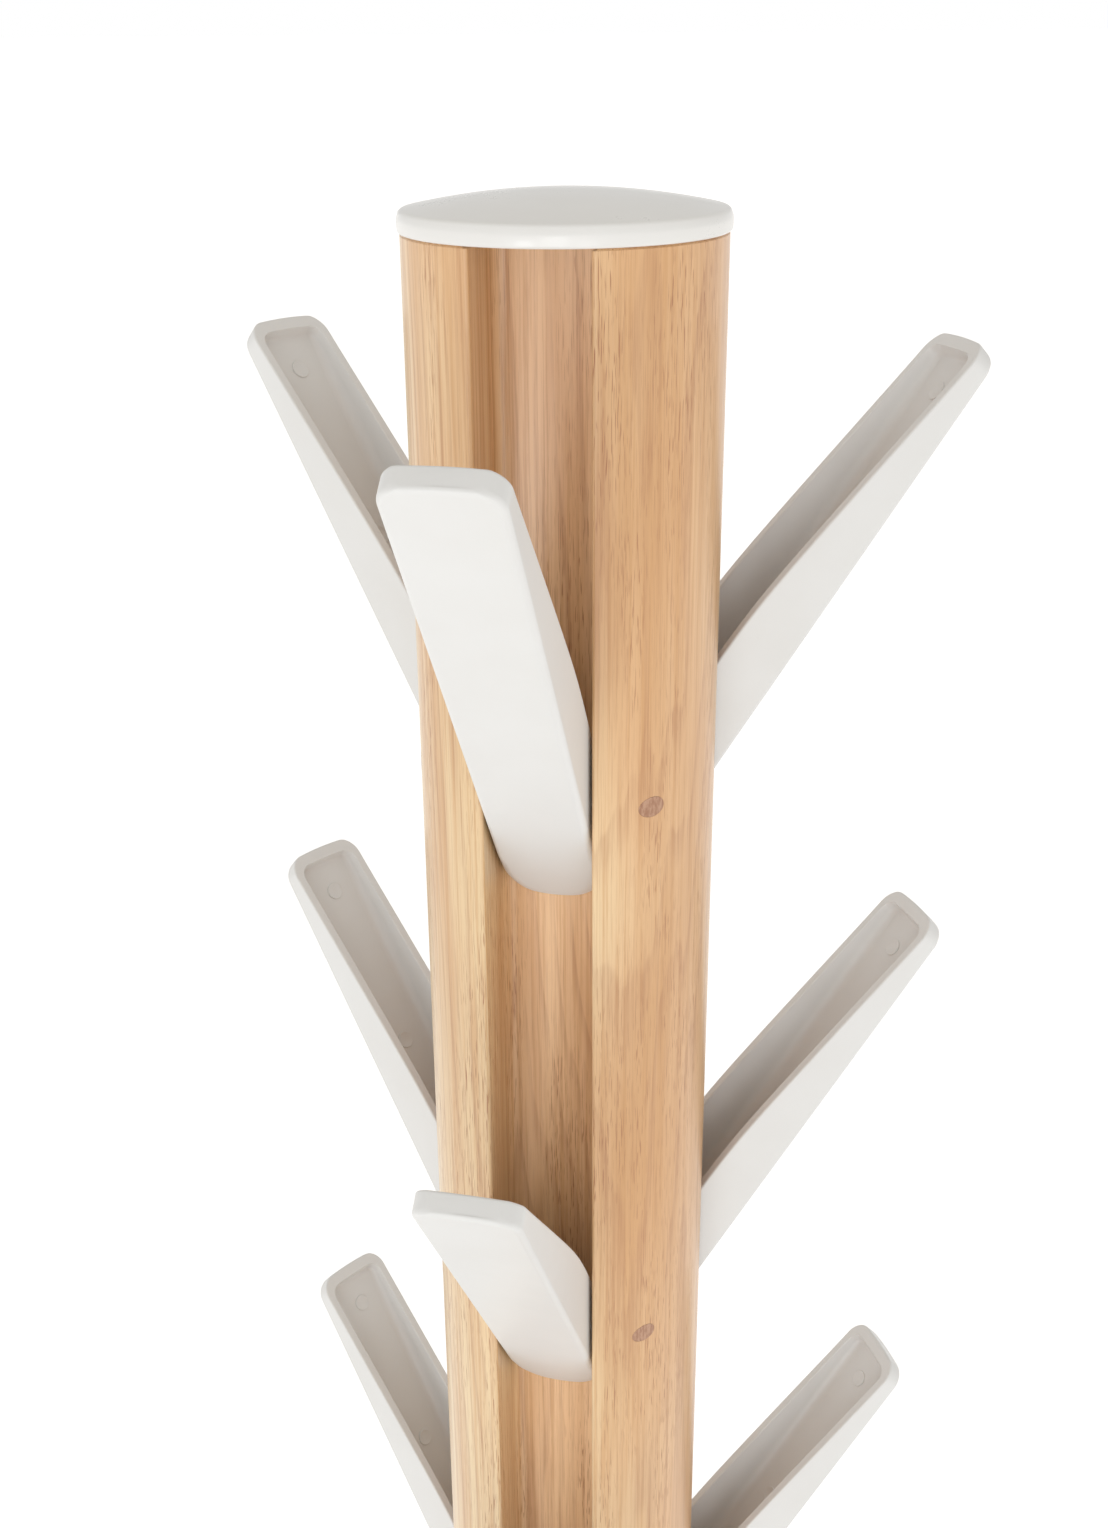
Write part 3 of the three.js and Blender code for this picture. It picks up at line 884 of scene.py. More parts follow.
@dataclass
class Post:
    """The grooved wooden post in three sections, and the plugs of the hinge pins' bores."""

    radius: float = 38.0 * MM
    groove_half_width: float = 13.55 * MM
    groove_floor: float = 15.2 * MM
    fillet: float = 3.5 * MM
    mouth_round: float = 0.8 * MM
    corner_steps: int = 7
    face_steps: int = 22
    end_chamfer: float = 0.5 * MM
    crease: float = 30.0
    ring_spacing: float = 40.0 * MM
    pin_circle: float = 26.8 * MM
    bore_clearance: float = 0.06 * MM
    bore_reach: float = 1.2
    bore_sides: int = 32
    plug_radius: float = 2.6 * MM
    plug_start: float = 20.7 * MM
    plug_gap: float = 0.3 * MM
    plug_proud: float = 0.02 * MM
    plug_rings: tuple[float, ...] = (0.3, 0.6, 0.86, 0.97, 1.0)
    plug_sides: int = 40
    sections: tuple[str, ...] = ("lower", "middle", "upper")

    def outline(self, inset: float = 0.0) -> list[Point2]:
        """Draws the section's outline.

        Args:
            inset: How far the outline is drawn in, at an end chamfer.

        Returns:
            The outline's points, counter-clockwise from above.
        """
        points: list[Point2] = []
        radius = self.radius - inset
        half = self.groove_half_width + inset
        floor = self.groove_floor - inset
        side = half + self.mouth_round
        out = math.sqrt((radius - self.mouth_round) ** 2 - side**2)
        mouth = math.degrees(math.atan2(side, out))
        corner_out, corner_side = floor + self.fillet, half - self.fillet
        steps = self.corner_steps
        local = arc((out, -side), self.mouth_round, -mouth, 90.0, steps)
        local += arc((corner_out, -corner_side), self.fillet, -90.0, -180.0, steps)
        local += arc((corner_out, corner_side), self.fillet, 180.0, 90.0, steps)
        local += arc((out, side), self.mouth_round, -90.0, mouth, steps)
        local += arc((0.0, 0.0), radius, mouth, 120.0 - mouth, self.face_steps)[1:-1]
        for column in (0.0, 120.0, 240.0):
            turn = math.radians(column - 90.0)
            c, s = math.cos(turn), math.sin(turn)
            points += [(x * c - y * s, x * s + y * c) for x, y in local]
        return points

    def section(self, node: str) -> Shape:
        """Builds one section of the post, as high as its CAD node.

        Args:
            node: The CAD node.

        Returns:
            The section.
        """
        low, high = (corner.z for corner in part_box(node))
        first, last = low + self.end_chamfer, high - self.end_chamfer
        span = high - low - 2.0 * self.end_chamfer
        steps = max(2, round((high - low) / self.ring_spacing))
        levels = [first] + [first + span * i / steps for i in range(1, steps)] + [last]
        drawn_in = self.outline(self.end_chamfer)
        rings = [[(x, y, low) for x, y in drawn_in]]
        rings += [[(x, y, z) for x, y in self.outline()] for z in levels]
        rings += [[(x, y, high) for x, y in drawn_in]]
        return Shape().loft(rings)

    def bores(self) -> Shape:
        """Builds the cutters of the plugs' bores.

        Returns:
            The cutters.
        """
        cutters = Shape()
        ends = (self.plug_start, self.radius * self.bore_reach)
        around = circle(self.plug_radius + self.bore_clearance, self.bore_sides)
        rod = Shape().loft([[(x, y, z) for y, z in around] for x in ends])
        for mount in MOUNTS:
            axis = Matrix.Translation((0.0, -self.pin_circle, mount.pivot.z))
            cutters.add(rod, mount.turn @ axis)
        return cutters

    def plug(self) -> Shape:
        """Builds a plug along X whose outer end follows the round of the post.

        Returns:
            The plug.
        """
        rings = [self.plug_ring(self.plug_radius * share) for share in self.plug_rings]
        start = self.plug_start + self.plug_gap
        rings.append([(start, y, z) for _, y, z in rings[-1]])
        return Shape().loft(rings)

    def plug_ring(self, radius: float) -> Ring:
        """Draws a ring on the post's surface round the axis of a hinge pin.

        Args:
            radius: The ring's radius.

        Returns:
            The ring.
        """
        surface = self.radius + self.plug_proud
        around = [(x - self.pin_circle, z) for x, z in circle(radius, self.plug_sides)]
        return [(math.sqrt(surface**2 - y**2), y, z) for y, z in around]

    def build(self, bench: Bench) -> None:
        """Makes the sections and the plugs.

        Args:
            bench: The bench that finishes them.
        """
        for name in self.sections:
            node = f"post_{name}"
            mesh = self.section(node).mesh(f"{node}_turning", crease=self.crease)
            if name == "upper":
                mesh = cut(mesh, self.bores().mesh("plug_bores"), self.crease)
            bench.piece(mesh, Slot.WOOD, node)
        for mount in MOUNTS:
            node = f"pin_plug_{mount.tag}"
            place = Matrix.Translation((0.0, 0.0, mount.pivot.z)) @ mount.turn
            bench.piece(self.plug().mesh(f"{node}_end_grain", place), Slot.PLUG, node)


# ---- Hooks ----------------------------------------------------------------------------------


@dataclass
class Hook:
    """A troughed fold-out hook: a tapered channel, open towards the post, with a wedge heel.

    It is built closed, with its hinge pin along X through the origin, its tip up and its outer
    face towards -Y. Distances down its length are taken from the tip.
    """

    half_width: float = 12.75 * MM
    above_pivot: float = 126.5 * MM
    length: float = 159.6 * MM
    face_out: float = 9.95 * MM
    tip_depth: float = 5.5 * MM
    full_depth: float = 18.2 * MM
    least_depth: float = 0.3 * MM
    taper: float = 84.0 * MM
    depth_blend: float = 2.2 * MM
    wall: float = 2.7 * MM
    tip_wall: float = 3.1 * MM
    skin: float = 2.6 * MM
    draft: float = 0.35 * MM
    edge_round: float = 1.5 * MM
    rim_round: float = 0.6 * MM
    lip_round: float = 0.25 * MM
    lip_land: float = 0.3 * MM
    tip_corner: float = 5.0 * MM
    tip_slant: float = 0.2
    tip_crown: float = 0.8 * MM
    tip_reach: float = 14.0 * MM
    tip_round: float = 1.0 * MM
    trough_corner: float = 3.2 * MM
    trough_fillet: float = 2.2 * MM
    trough_bend: float = 3.4 * MM
    least_trough: float = 0.5 * MM
    roll_steps: int = 9
    rim_steps: int = 5
    bend_steps: int = 6
    solid_heel: float = 12.4 * MM
    roll_start: float = 142.0 * MM
    roll_end: float = 159.0 * MM
    roll_width: float = 5.5 * MM
    roll_slope: float = 0.45
    stop_round: float = 2.6 * MM
    stop_start: float = 130.0 * MM
    stop_blend: float = 4.0 * MM
    bow_rise: float = 10.5 * MM
    bow_power: float = 2.7
    least_half: float = 1.2 * MM
    boss_radius: float = 5.2 * MM
    boss_bore: float = 2.3 * MM
    boss_start: float = 7.2 * MM
    boss_sink: float = 1.0 * MM
    boss_edge: float = 0.3 * MM
    mark_radius: float = 2.6 * MM
    mark_rise: float = 0.3 * MM
    mark_root: float = 0.5 * MM
    mark_places: tuple[float, ...] = (12.7 * MM, 64.0 * MM)

    def depth(self, down: float, open_angle: float) -> float:
        """Returns the depth of the channel at a distance from the tip.

        Args:
            down: The distance from the tip.
            open_angle: How far the hook swings out, which is the slope of its stop face.

        Returns:
            The depth behind the outer face.
        """
        taper = self.tip_depth + (self.full_depth - self.tip_depth) * down / self.taper
        wedge = (self.length - down) * math.tan(open_angle)
        plain = soft_least(taper, self.full_depth, self.depth_blend)
        return max(self.least_depth, min(plain, wedge))

    @staticmethod
    def stations() -> list[float]:
        """Lists where the channel's section is drawn: closely wherever its form changes.

        Returns:
            Distances from the tip.
        """
        tip = [0.0, 0.08, 0.25, 0.5, 0.9, 1.4, 2.0, 2.6]
        trough_start = [3.1, 3.13, 3.2, 3.35, 3.6, 4.0, 4.6, 5.4, 6.6, 8.2]
        even = [10.0 + 7.5 * i for i in range(9)]
        middle = [76.0 + 4.0 * i for i in range(14)]
        heel = [131.0 + 1.6 * i for i in range(9)]
        trough_end = [144.8, 145.7, 146.3, 146.7, 147.0, 147.15, 147.2]
        toe = [149.0, 151.0, 152.8, 154.4, 155.6, 156.6, 157.4, 158.1, 158.6, 159.0, 159.3, 159.5]
        return [d * MM for d in tip + trough_start + even + middle + heel + trough_end + toe]

    def half_at(self, down: float) -> float:
        """Finds half the width at a distance from the tip, with round ends.

        Args:
            down: The distance from the tip.

        Returns:
            Half the width.
        """
        half = self.half_width - corner_loss(self.tip_corner, down)
        short = 1.0 - clamped((self.length - down) / self.bow_rise)
        bow = self.half_width * (1.0 - short**self.bow_power) ** (1.0 / self.bow_power)
        return min(half, max(bow, self.least_half))

    def section(self, down: float, open_angle: float) -> list[Point2]:
        """Draws the channel's section at a distance from the tip.

        Args:
            down: The distance from the tip.
            open_angle: How far the hook swings out.

        Returns:
            Points of width and outward distance, round the section.
        """
        half = self.half_at(down)
        face = self.face_out - corner_loss(self.tip_round, down)
        inner = self.face_out - self.depth(down, open_angle) + corner_loss(self.rim_round, down)
        roll = max(0.0, (down - self.roll_start) / (self.roll_end - self.roll_start))
        across = self.edge_round + (self.roll_width - self.edge_round) * roll
        deep = self.edge_round + (across - self.edge_round) * self.roll_slope
        across = min(across, half * 0.9)
        deep = min(deep, (face - inner) * 0.8)
        stop = self.stop_round * clamped((down - self.stop_start) / self.stop_blend)
        rim = min(self.rim_round + stop, 0.35 * (face - inner), half * 0.4)
        corners = (across, deep, corner_loss(self.trough_corner, max(0.0, down - self.tip_wall)))
        right = self.half_section(half, face, inner, corners, rim, self.trough(down))
        left = [(-x, o) for x, o in reversed(right)]
        return right + left[1:-1]

    def trough(self, down: float) -> float:
        """Finds how far the trough is sunk at a distance from the tip.

        Args:
            down: The distance from the tip.

        Returns:
            A share from 0 to 1.
        """
        end = self.length - self.solid_heel
        inside = min(down - self.tip_wall, end - down) / self.trough_fillet
        return 1.0 - (1.0 - clamped(inside)) ** 5

    def half_section(
        self, half: float, face: float, inner: float, corners: Point3, rim: float, sunk: float
    ) -> list[Point2]:
        """Draws the right half of a section, from the middle of the face to the trough.

        Args:
            half: Half the width.
            face: The outer face's outward distance.
            inner: The rim's outward distance.
            corners: The width and depth of the rounding of the face's edge, and how much the
                trough's own round corner narrows it.
            rim: The rounding of the rim's outer edge.
            sunk: How far the trough is sunk, from 0 to 1.

        Returns:
            The points.
        """
        across, deep, narrowed = corners
        start = half - across
        lowest = inner + rim
        end_angle = math.degrees(math.asin(clamped((lowest - (face - deep)) / deep)))
        roll = arc((0.0, 0.0), 1.0, 90.0, end_angle, self.roll_steps)
        points = [(0.0, face), (start * 0.55, face)]
        points += [(start + x * across, face - deep + y * deep) for x, y in roll]
        side, top = points[-1]
        points += [(side, top + (lowest - top) * share) for share in (0.33, 0.67)]
        points += arc((side - rim, lowest), rim, 0.0, -90.0, self.rim_steps)
        lip = side - rim
        if sunk <= 0.0:
            count = self.bend_steps + 5
            return points + [(lip * (1.0 - step / count), inner) for step in range(1, count + 1)]
        widest = min(lip - self.lip_land, half - self.wall)
        wall_x = max(widest - narrowed, self.least_trough)
        floor = inner + (face - self.skin - inner) * sunk
        soft = self.lip_round * min(1.0, sunk * 4.0)
        bend = min(self.trough_bend, max(0.0, floor - inner) * 0.6)
        foot = wall_x - self.draft
        points += [(wall_x + soft, inner), (wall_x, inner + soft), (foot, floor - bend)]
        points += arc((foot - bend, floor - bend), bend, 0.0, 90.0, self.bend_steps)[1:]
        return points + [((wall_x - bend) * 0.5, floor), (0.0, floor)]

    def build(self, bench: Bench, mount: Mount) -> None:
        """Makes one hook where its CAD node is.

        Args:
            bench: The bench that finishes it.
            mount: Its place on the post.
        """
        open_angle = math.radians(mount.joint["range_deg"][1])
        rings = []
        for down in self.stations():
            section = self.section(down, open_angle)
            rings.append([(x, -o, self.height(x, o, down)) for x, o in section])
        shape = Shape().loft(rings)
        self.add_inside(shape)
        place = mount.place @ Matrix.Rotation(open_angle, 4, "X")
        node = f"hook_{mount.tag}"
        bench.piece(shape.mesh(f"{node}_moulding", place), Slot.HOOK, node, f"{node}_arm")

    def height(self, x: float, out: float, down: float) -> float:
        """Finds a point's height above the pivot, with the tip slanted and crowned.

        Args:
            x: The point's place across the hook.
            out: Its outward distance.
            down: Its distance from the tip.

        Returns:
            The height.
        """
        fade = max(0.0, 1.0 - down / self.tip_reach) ** 2
        slant = self.tip_slant * (self.face_out - out)
        crown = self.tip_crown * (1.0 - (x / self.half_width) ** 2)
        return self.above_pivot - down + (slant + crown) * fade

    def add_inside(self, shape: Shape) -> None:
        """Adds the pin's two bosses and the ejector marks.

        Args:
            shape: The hook's shape.
        """
        reach = self.half_width - self.boss_sink
        for side in (-1.0, 1.0):
            near, far = sorted((side * self.boss_start, side * reach))
            shape.add(self.boss(near, far), Matrix.Rotation(math.radians(90.0), 4, "Y"))
        floor = self.face_out - self.skin
        for down in self.mark_places:
            disc = Shape().turn(self.mark_profile(), 36)
            place = Matrix.Translation((0.0, -floor, self.above_pivot - down))
            shape.add(disc, place @ Matrix.Rotation(math.radians(-90.0), 4, "X"))

    def boss(self, start: float, end: float) -> Shape:
        """Turns one boss, a tube about Z.

        Args:
            start: Its lower end.
            end: Its upper end.

        Returns:
            The boss.
        """
        outer, bore, edge = self.boss_radius, self.boss_bore, self.boss_edge
        profile = [
            (bore, start), (outer - edge, start), (outer, start + edge),
            (outer, end - edge), (outer - edge, end), (bore, end),
        ]
        return Shape().turn(profile, 32)

    def mark_profile(self) -> list[Point2]:
        """Draws an ejector mark: a low disc with a soft edge.

        Returns:
            Points of radius and height.
        """
        rise, edge, root = self.mark_rise, self.mark_radius, -self.mark_root
        return [
            (0.0, rise * 0.7), (edge * 0.8, rise * 0.7), (edge * 0.88, rise),
            (edge * 0.97, rise), (edge, rise * 0.6), (edge, root), (0.0, root),
        ]


@dataclass
class HingePin:
    """A plain steel pin with chamfered ends, along the tangent of the post."""

    radius: float = 2.0 * MM
    blind_end: float = 23.7 * MM
    plug_end: float = 20.7 * MM
    chamfer: float = 0.35 * MM

    def build(self, bench: Bench, mount: Mount) -> None:
        """Makes the pin of one hook.

        Args:
            bench: The bench that finishes it.
            mount: The hook's place on the post.
        """
        r, c = self.radius, self.chamfer
        profile = [
            (0.0, -self.blind_end), (r - c, -self.blind_end), (r, c - self.blind_end),
            (r, self.plug_end - c), (r - c, self.plug_end), (0.0, self.plug_end),
        ]
        place = mount.place @ Matrix.Rotation(math.radians(90.0), 4, "Y")
        node = f"hinge_pin_{mount.tag}"
        bench.piece(Shape().turn(profile, 40).mesh(f"{node}_rod", place), Slot.STEEL, node)


# ---- Cap ------------------------------------------------------------------------------------


@dataclass
class Cap:
    """The domed cap, a thin moulding with a round rim and a spigot that enters the post."""

    node: str = "post_cap"
    rim_radius: float = 38.7 * MM
    shoulder: float = 5.25 * MM
    shoulder_round: float = 1.3 * MM
    dome_steps: int = 14
    sides: int = 128
    seat: float = 0.03 * MM
    lip_round: float = 0.75 * MM
    wall: float = 2.6 * MM
    spigot: float = 9.7 * MM
    spigot_wall: float = 2.2 * MM
    spigot_chamfer: Point2 = (0.8 * MM, 1.0 * MM)
    spigot_length: float = 20.0 * MM

    def build(self, bench: Bench) -> None:
        """Makes the cap.

        Args:
            bench: The bench that finishes it.
        """
        low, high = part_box(self.node)
        rise = high.z - low.z - self.spigot_length
        profile = [(r, high.z - rise + z) for r, z in self.profile(rise)]
        mesh = Shape().turn(profile, self.sides).mesh(f"{self.node}_moulding")
        bench.piece(mesh, Slot.CAP, self.node)

    def profile(self, rise: float) -> list[Point2]:
        """Draws the cap's profile from the top of the dome to the inside of the spigot.

        Args:
            rise: The height of the cap above the wood.

        Returns:
            Points of radius and height above the wood.
        """
        rim, spigot, lip = self.rim_radius, self.spigot, self.lip_round
        edge = rim - self.shoulder_round - 0.5 * MM
        points = [(0.0, rise)]
        for i in range(1, self.dome_steps + 1):
            share = i / self.dome_steps
            points.append((edge * share, rise - (rise - self.shoulder) * share**2))
        corner = (rim - self.shoulder_round - 0.35 * MM, 3.9 * MM)
        points += arc(corner, self.shoulder_round, 74.0, 12.0, 6)
        points += [(rim - 0.08 * MM, 3.4 * MM), (rim, 2.6 * MM), (rim - 0.03 * MM, 1.6 * MM)]
        points += arc((rim - lip - 0.1 * MM, self.seat + lip), lip, -4, -90, 6)
        inside = rim - self.wall - 1.1 * MM
        points += [(inside, self.seat), (inside - 0.2 * MM, 2.4 * MM)]
        points += [(spigot + 1.5 * MM, 4.2 * MM), (spigot, 3.6 * MM)]
        drawn_in, up = self.spigot_chamfer
        bore = spigot - self.spigot_wall
        points += [(spigot, up - self.spigot_length), (spigot - drawn_in, -self.spigot_length)]
        return points + [(bore, -self.spigot_length), (bore, 5.6 * MM), (0.0, 6.0 * MM)]


# ---- Joining hardware -----------------------------------------------------------------------


@dataclass
class Hardware:
    """Threaded sleeves, studs, the base bolt and its washer."""

    pitch: float = 1.25 * MM
    thread_depth: float = 0.55 * MM
    thread_sides: int = 48
    sleeve_bore: float = 4.15 * MM
    sleeve_chamfer: Point2 = (0.8 * MM, 1.0 * MM)
    bore_thread: Point2 = (0.6 * MM, 0.25 * MM)
    end_chamfer: Point2 = (0.9 * MM, 0.8 * MM)
    head_height: float = 5.5 * MM
    head_chamfer: float = 0.5 * MM
    head_top: float = 0.9
    shank: float = 3.85 * MM
    shank_plain: float = 16.0 * MM
    washer_bore: float = 4.6 * MM
    washer_edge: float = 0.3 * MM

    def ridges(self, radius: float, low: float, high: float, sink: float) -> list[Point2]:
        """Returns the profile of a row of thread ridges going up.

        Args:
            radius: The crest's radius.
            low: The lowest height.
            high: The highest height.
            sink: The ridges' depth, negative for a thread inside a bore.

        Returns:
            The profile's points.
        """
        turns = max(1, int((high - low) / self.pitch))
        pitch = (high - low) / turns
        root = radius - sink
        points = []
        for i in range(turns):
            z = low + i * pitch
            points += [(root, z), (root, z + pitch * 0.12), (radius, z + pitch * 0.44)]
            points += [(radius, z + pitch * 0.56), (root, z + pitch * 0.88)]
        return points + [(root, high)]

    def sleeve(self, node: str) -> Shape:
        """Builds a threaded sleeve as high as its CAD node.

        Args:
            node: The CAD node.

        Returns:
            The sleeve.
        """
        low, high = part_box(node)
        outer = (high.x - low.x) / 2.0
        bore = self.sleeve_bore
        drawn_in, up = self.sleeve_chamfer
        inset, sink = self.bore_thread
        profile = [(bore, low.z), (outer - drawn_in, low.z)]
        profile += self.ridges(outer, low.z + up, high.z - up, self.thread_depth)
        profile += [(outer - drawn_in, high.z), (bore, high.z)]
        inner = self.ridges(bore, low.z + inset, high.z - inset, -sink)
        return Shape().turn(profile + inner[::-1], self.thread_sides)

    def stud(self, node: str) -> Shape:
        """Builds a threaded stud as high as its CAD node.

        Args:
            node: The CAD node.

        Returns:
            The stud.
        """
        low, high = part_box(node)
        outer = (high.y - low.y) / 2.0
        drawn_in, up = self.end_chamfer
        profile = [(0.0, low.z), (outer - drawn_in, low.z)]
        profile += self.ridges(outer, low.z + up, high.z - up, self.thread_depth)
        profile += [(outer - drawn_in, high.z), (0.0, high.z)]
        return Shape().turn(profile, self.thread_sides)

    def bolt(self, node: str) -> Shape:
        """Builds the base bolt: a hexagonal head with a chamfered foot and a threaded shank.

        Args:
            node: The CAD node.

        Returns:
            The bolt.
        """
        low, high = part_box(node)
        corner = (high.y - low.y) / 2.0
        drawn_in, up = self.end_chamfer
        rings = []
        for z, share in ((0.0, self.head_top), (self.head_chamfer, 1.0), (self.head_height, 1.0)):
            rings.append([(x, y, low.z + z) for x, y in circle(corner * share, 6, 30.0)])
        root = low.z + self.head_height - self.head_chamfer
        profile = [(0.0, root), (self.shank, root)]
        thread = (low.z + self.shank_plain, high.z - up, self.thread_depth)
        profile += self.ridges(self.shank, *thread)
        profile += [(self.shank - drawn_in, high.z), (0.0, high.z)]
        return Shape().loft(rings).add(Shape().turn(profile, self.thread_sides))

    def washer(self, node: str) -> Shape:
        """Builds a washer with softened edges.

        Args:
            node: The CAD node.

        Returns:
            The washer.
        """
        low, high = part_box(node)
        outer, bore, edge = (high.x - low.x) / 2.0, self.washer_bore, self.washer_edge
        corners = [
            (bore, low.z, edge), (outer, low.z, edge), (outer, high.z, edge), (bore, high.z, edge),
        ]
        return Shape().turn(fine_profile(corners, 3), 64)

    def build(self, bench: Bench) -> None:
        """Makes every piece of joining hardware.

        Args:
            bench: The bench that finishes them.
        """
        for node in sorted(frame["nodes"]):
            if node.startswith("insert_"):
                bench.piece(self.sleeve(node).mesh(f"{node}_sleeve"), Slot.BRASS, node)
            elif node.startswith("stud_"):
                bench.piece(self.stud(node).mesh(f"{node}_threaded"), Slot.STEEL, node)
        bench.piece(self.bolt("base_bolt").mesh("base_bolt_hex"), Slot.STEEL, "base_bolt")
        mesh = self.washer("base_washer").mesh("base_washer_flat")
        bench.piece(mesh, Slot.STEEL, "base_washer")


# ---- Base -----------------------------------------------------------------------------------


@dataclass
class Base:
    """The weighted round base: painted shell, iron weight, closing plate and rubber feet."""

    skin: float = 2.0 * MM
    rim_round: float = 6.0 * MM
    rim_end: float = 76.0
    edge_top: float = 15.0 * MM
    lip_chamfer: float = 0.5 * MM
    platform: float = 46.0 * MM
    platform_edge: float = 2.0 * MM
    dome_steps: int = 18
    bolt_hole: float = 4.6 * MM
    weight_top: float = 19.0 * MM
    recess_radius: float = 15.0 * MM
    recess_depth: float = 6.0 * MM
    boss_root: float = 32.0 * MM
    boss_top: float = 30.0 * MM
    plate_hole: float = 22.0 * MM
    plate_edge: float = 0.6 * MM
    bead: tuple[float, ...] = (70.0 * MM, 72.0 * MM, 78.0 * MM, 80.0 * MM)
    bead_rise: float = 0.7 * MM
    foot_count: int = 6
    pad: float = 5.0 * MM
    pad_round: float = 1.0 * MM
    pad_hollow: float = 0.6 * MM
    peg: float = 3.0 * MM
    barb_drop: float = 2.4 * MM

    def shell(self) -> Shape:
        """Builds the painted shell: a flat platform, a low dome and a rolled rim.

        Returns:
            The shell.
        """
        low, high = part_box("base_shell")
        radius = high.x
        shoulder = radius - self.rim_round
        centre = (shoulder, self.edge_top - self.rim_round)
        top: list[Point2] = [(self.bolt_hole, high.z), (self.platform - self.platform_edge, high.z)]
        under: list[Point2] = []
        for i in range(self.dome_steps + 1):
            share = i / self.dome_steps
            r = self.platform + (shoulder - self.platform) * share
            z = high.z - (high.z - self.edge_top) * share**2
            top.append((r, z - 0.02 * MM))
            under.append((r, z - self.skin))
        rim = arc(centre, self.rim_round, self.rim_end, 0.0, 10)
        inner = arc(centre, self.rim_round - self.skin, 0.0, self.rim_end, 8)
        inside, chamfer = radius - self.skin, self.lip_chamfer
        lip = [
            (radius, low.z + chamfer), (radius - chamfer, low.z),
            (inside + chamfer, low.z), (inside, low.z + chamfer),
        ]
        profile = top + rim + lip + inner + under[::-1] + [(self.bolt_hole, high.z - self.skin)]
        return Shape().turn(profile, 160)

    def weight(self) -> Shape:
        """Builds the iron weight: a disc with a raised boss and a recess for the bolt.

        Returns:
            The weight.
        """
        low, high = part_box("base_weight")
        recess = low.z + self.recess_depth
        corners = [
            (self.bolt_hole, recess, 0.0), (self.recess_radius, recess, 0.8 * MM),
            (self.recess_radius, low.z, 0.8 * MM), (high.x, low.z, 2.0 * MM),
            (high.x, self.weight_top, 2.5 * MM), (self.boss_root, self.weight_top, 1.6 * MM),
            (self.boss_top, high.z, 0.8 * MM), (self.bolt_hole, high.z, 0.4 * MM),
        ]
        return Shape().turn(fine_profile(corners), 120)

    def plate(self) -> Shape:
        """Builds the closing plate, with a pressed bead round it and a rolled middle hole.

        Returns:
            The plate.
        """
        low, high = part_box("base_plate")
        hole, edge = self.plate_hole, self.plate_edge
        heights = (low.z, low.z + self.bead_rise, low.z + self.bead_rise, low.z)
        bead = [(r, z, 0.0) for r, z in zip(self.bead, heights)]
        outside = [(high.x, low.z, edge), (high.x, high.z, edge)]
        corners = [(hole, low.z, edge)] + bead + outside + [(hole, high.z, edge)]
        return Shape().turn(fine_profile(corners), 128)

    def foot(self, node: str) -> Shape:
        """Builds a round rubber foot with its barbed peg.

        Args:
            node: The CAD node.

        Returns:
            The foot.
        """
        low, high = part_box(node)
        radius = (high.x - low.x) / 2.0
        x, y = (low.x + high.x) / 2.0, (low.y + high.y) / 2.0
        pad, peg, hollow, soft = self.pad, self.peg, self.pad_hollow, self.pad_round
        barb = high.z - self.barb_drop
        profile = [(0.0, hollow), (radius - 4.2 * MM, hollow), (radius - 3.6 * MM, 0.0)]
        profile += arc((radius - soft, soft), soft, -90.0, 0.0, 5)
        profile += [(radius - 0.3 * MM, 2.6 * MM), (radius - 0.5 * MM, pad - 0.6 * MM)]
        profile += [(radius - 1.1 * MM, pad), (peg, pad), (peg, barb)]
        profile += [(peg + 1.0 * MM, barb), (peg + 0.8 * MM, barb + 0.5 * MM)]
        profile += [(peg - 0.6 * MM, high.z), (0.0, high.z)]
        return Shape().add(Shape().turn(profile, 56), Matrix.Translation((x, y, low.z)))

    def build(self, bench: Bench) -> None:
        """Makes every piece of the base.

        Args:
            bench: The bench that finishes them.
        """
        bench.piece(self.shell().mesh("base_shell_spinning"), Slot.PAINT, "base_shell")
        bench.piece(self.weight().mesh("base_weight_casting"), Slot.IRON, "base_weight")
        bench.piece(self.plate().mesh("base_plate_pressing"), Slot.PLATE, "base_plate")
        for i in range(1, self.foot_count + 1):
            node = f"foot_{i}"
            bench.piece(self.foot(node).mesh(f"{node}_moulding"), Slot.RUBBER, node)


# ---- Studio ---------------------------------------------------------------------------------


@dataclass
class Camera:
    """The camera, close to the top of the post and looking down on it."""

    lens: float = 40.65
    sensor_width: float = 36.0
    clip_start: float = 0.01
    distance: float = 413.24 * MM
    above_wood: float = 43.74 * MM
    azimuth: float = 12.549
    pitch: float = 23.246
    yaw: float = -0.4986
    roll: float = -0.5284

    def build(self) -> None:
        """Makes the camera and gives it to the scene."""
        azimuth = math.radians(self.azimuth)
        eye = Vector((self.distance * math.sin(azimuth), -self.distance * math.cos(azimuth), 0.0))
        eye.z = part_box("post_upper")[1].z + self.above_wood
        turn = azimuth - math.radians(self.yaw)
        pitch = math.radians(self.pitch)
        forward = Vector((-math.sin(turn), math.cos(turn), 0.0)) * math.cos(pitch)
        forward.z = -math.sin(pitch)
        right = forward.cross(Vector((0.0, 0.0, 1.0))).normalized()
        up = right.cross(forward)
        roll = math.radians(self.roll)
        side = right * math.cos(roll) + up * math.sin(roll)
        top = up * math.cos(roll) - right * math.sin(roll)
        data = bpy.data.cameras.new("camera")
        data.lens = self.lens
        data.sensor_width = self.sensor_width
        data.clip_start = self.clip_start
        camera = in_scene("camera", data)
        axes = Matrix((side, top, -forward)).transposed().to_4x4()
        camera.matrix_world = Matrix.Translation(eye) @ axes
        bpy.context.scene.camera = camera
        log.info("camera at %s", tuple(round(c, 4) for c in eye))


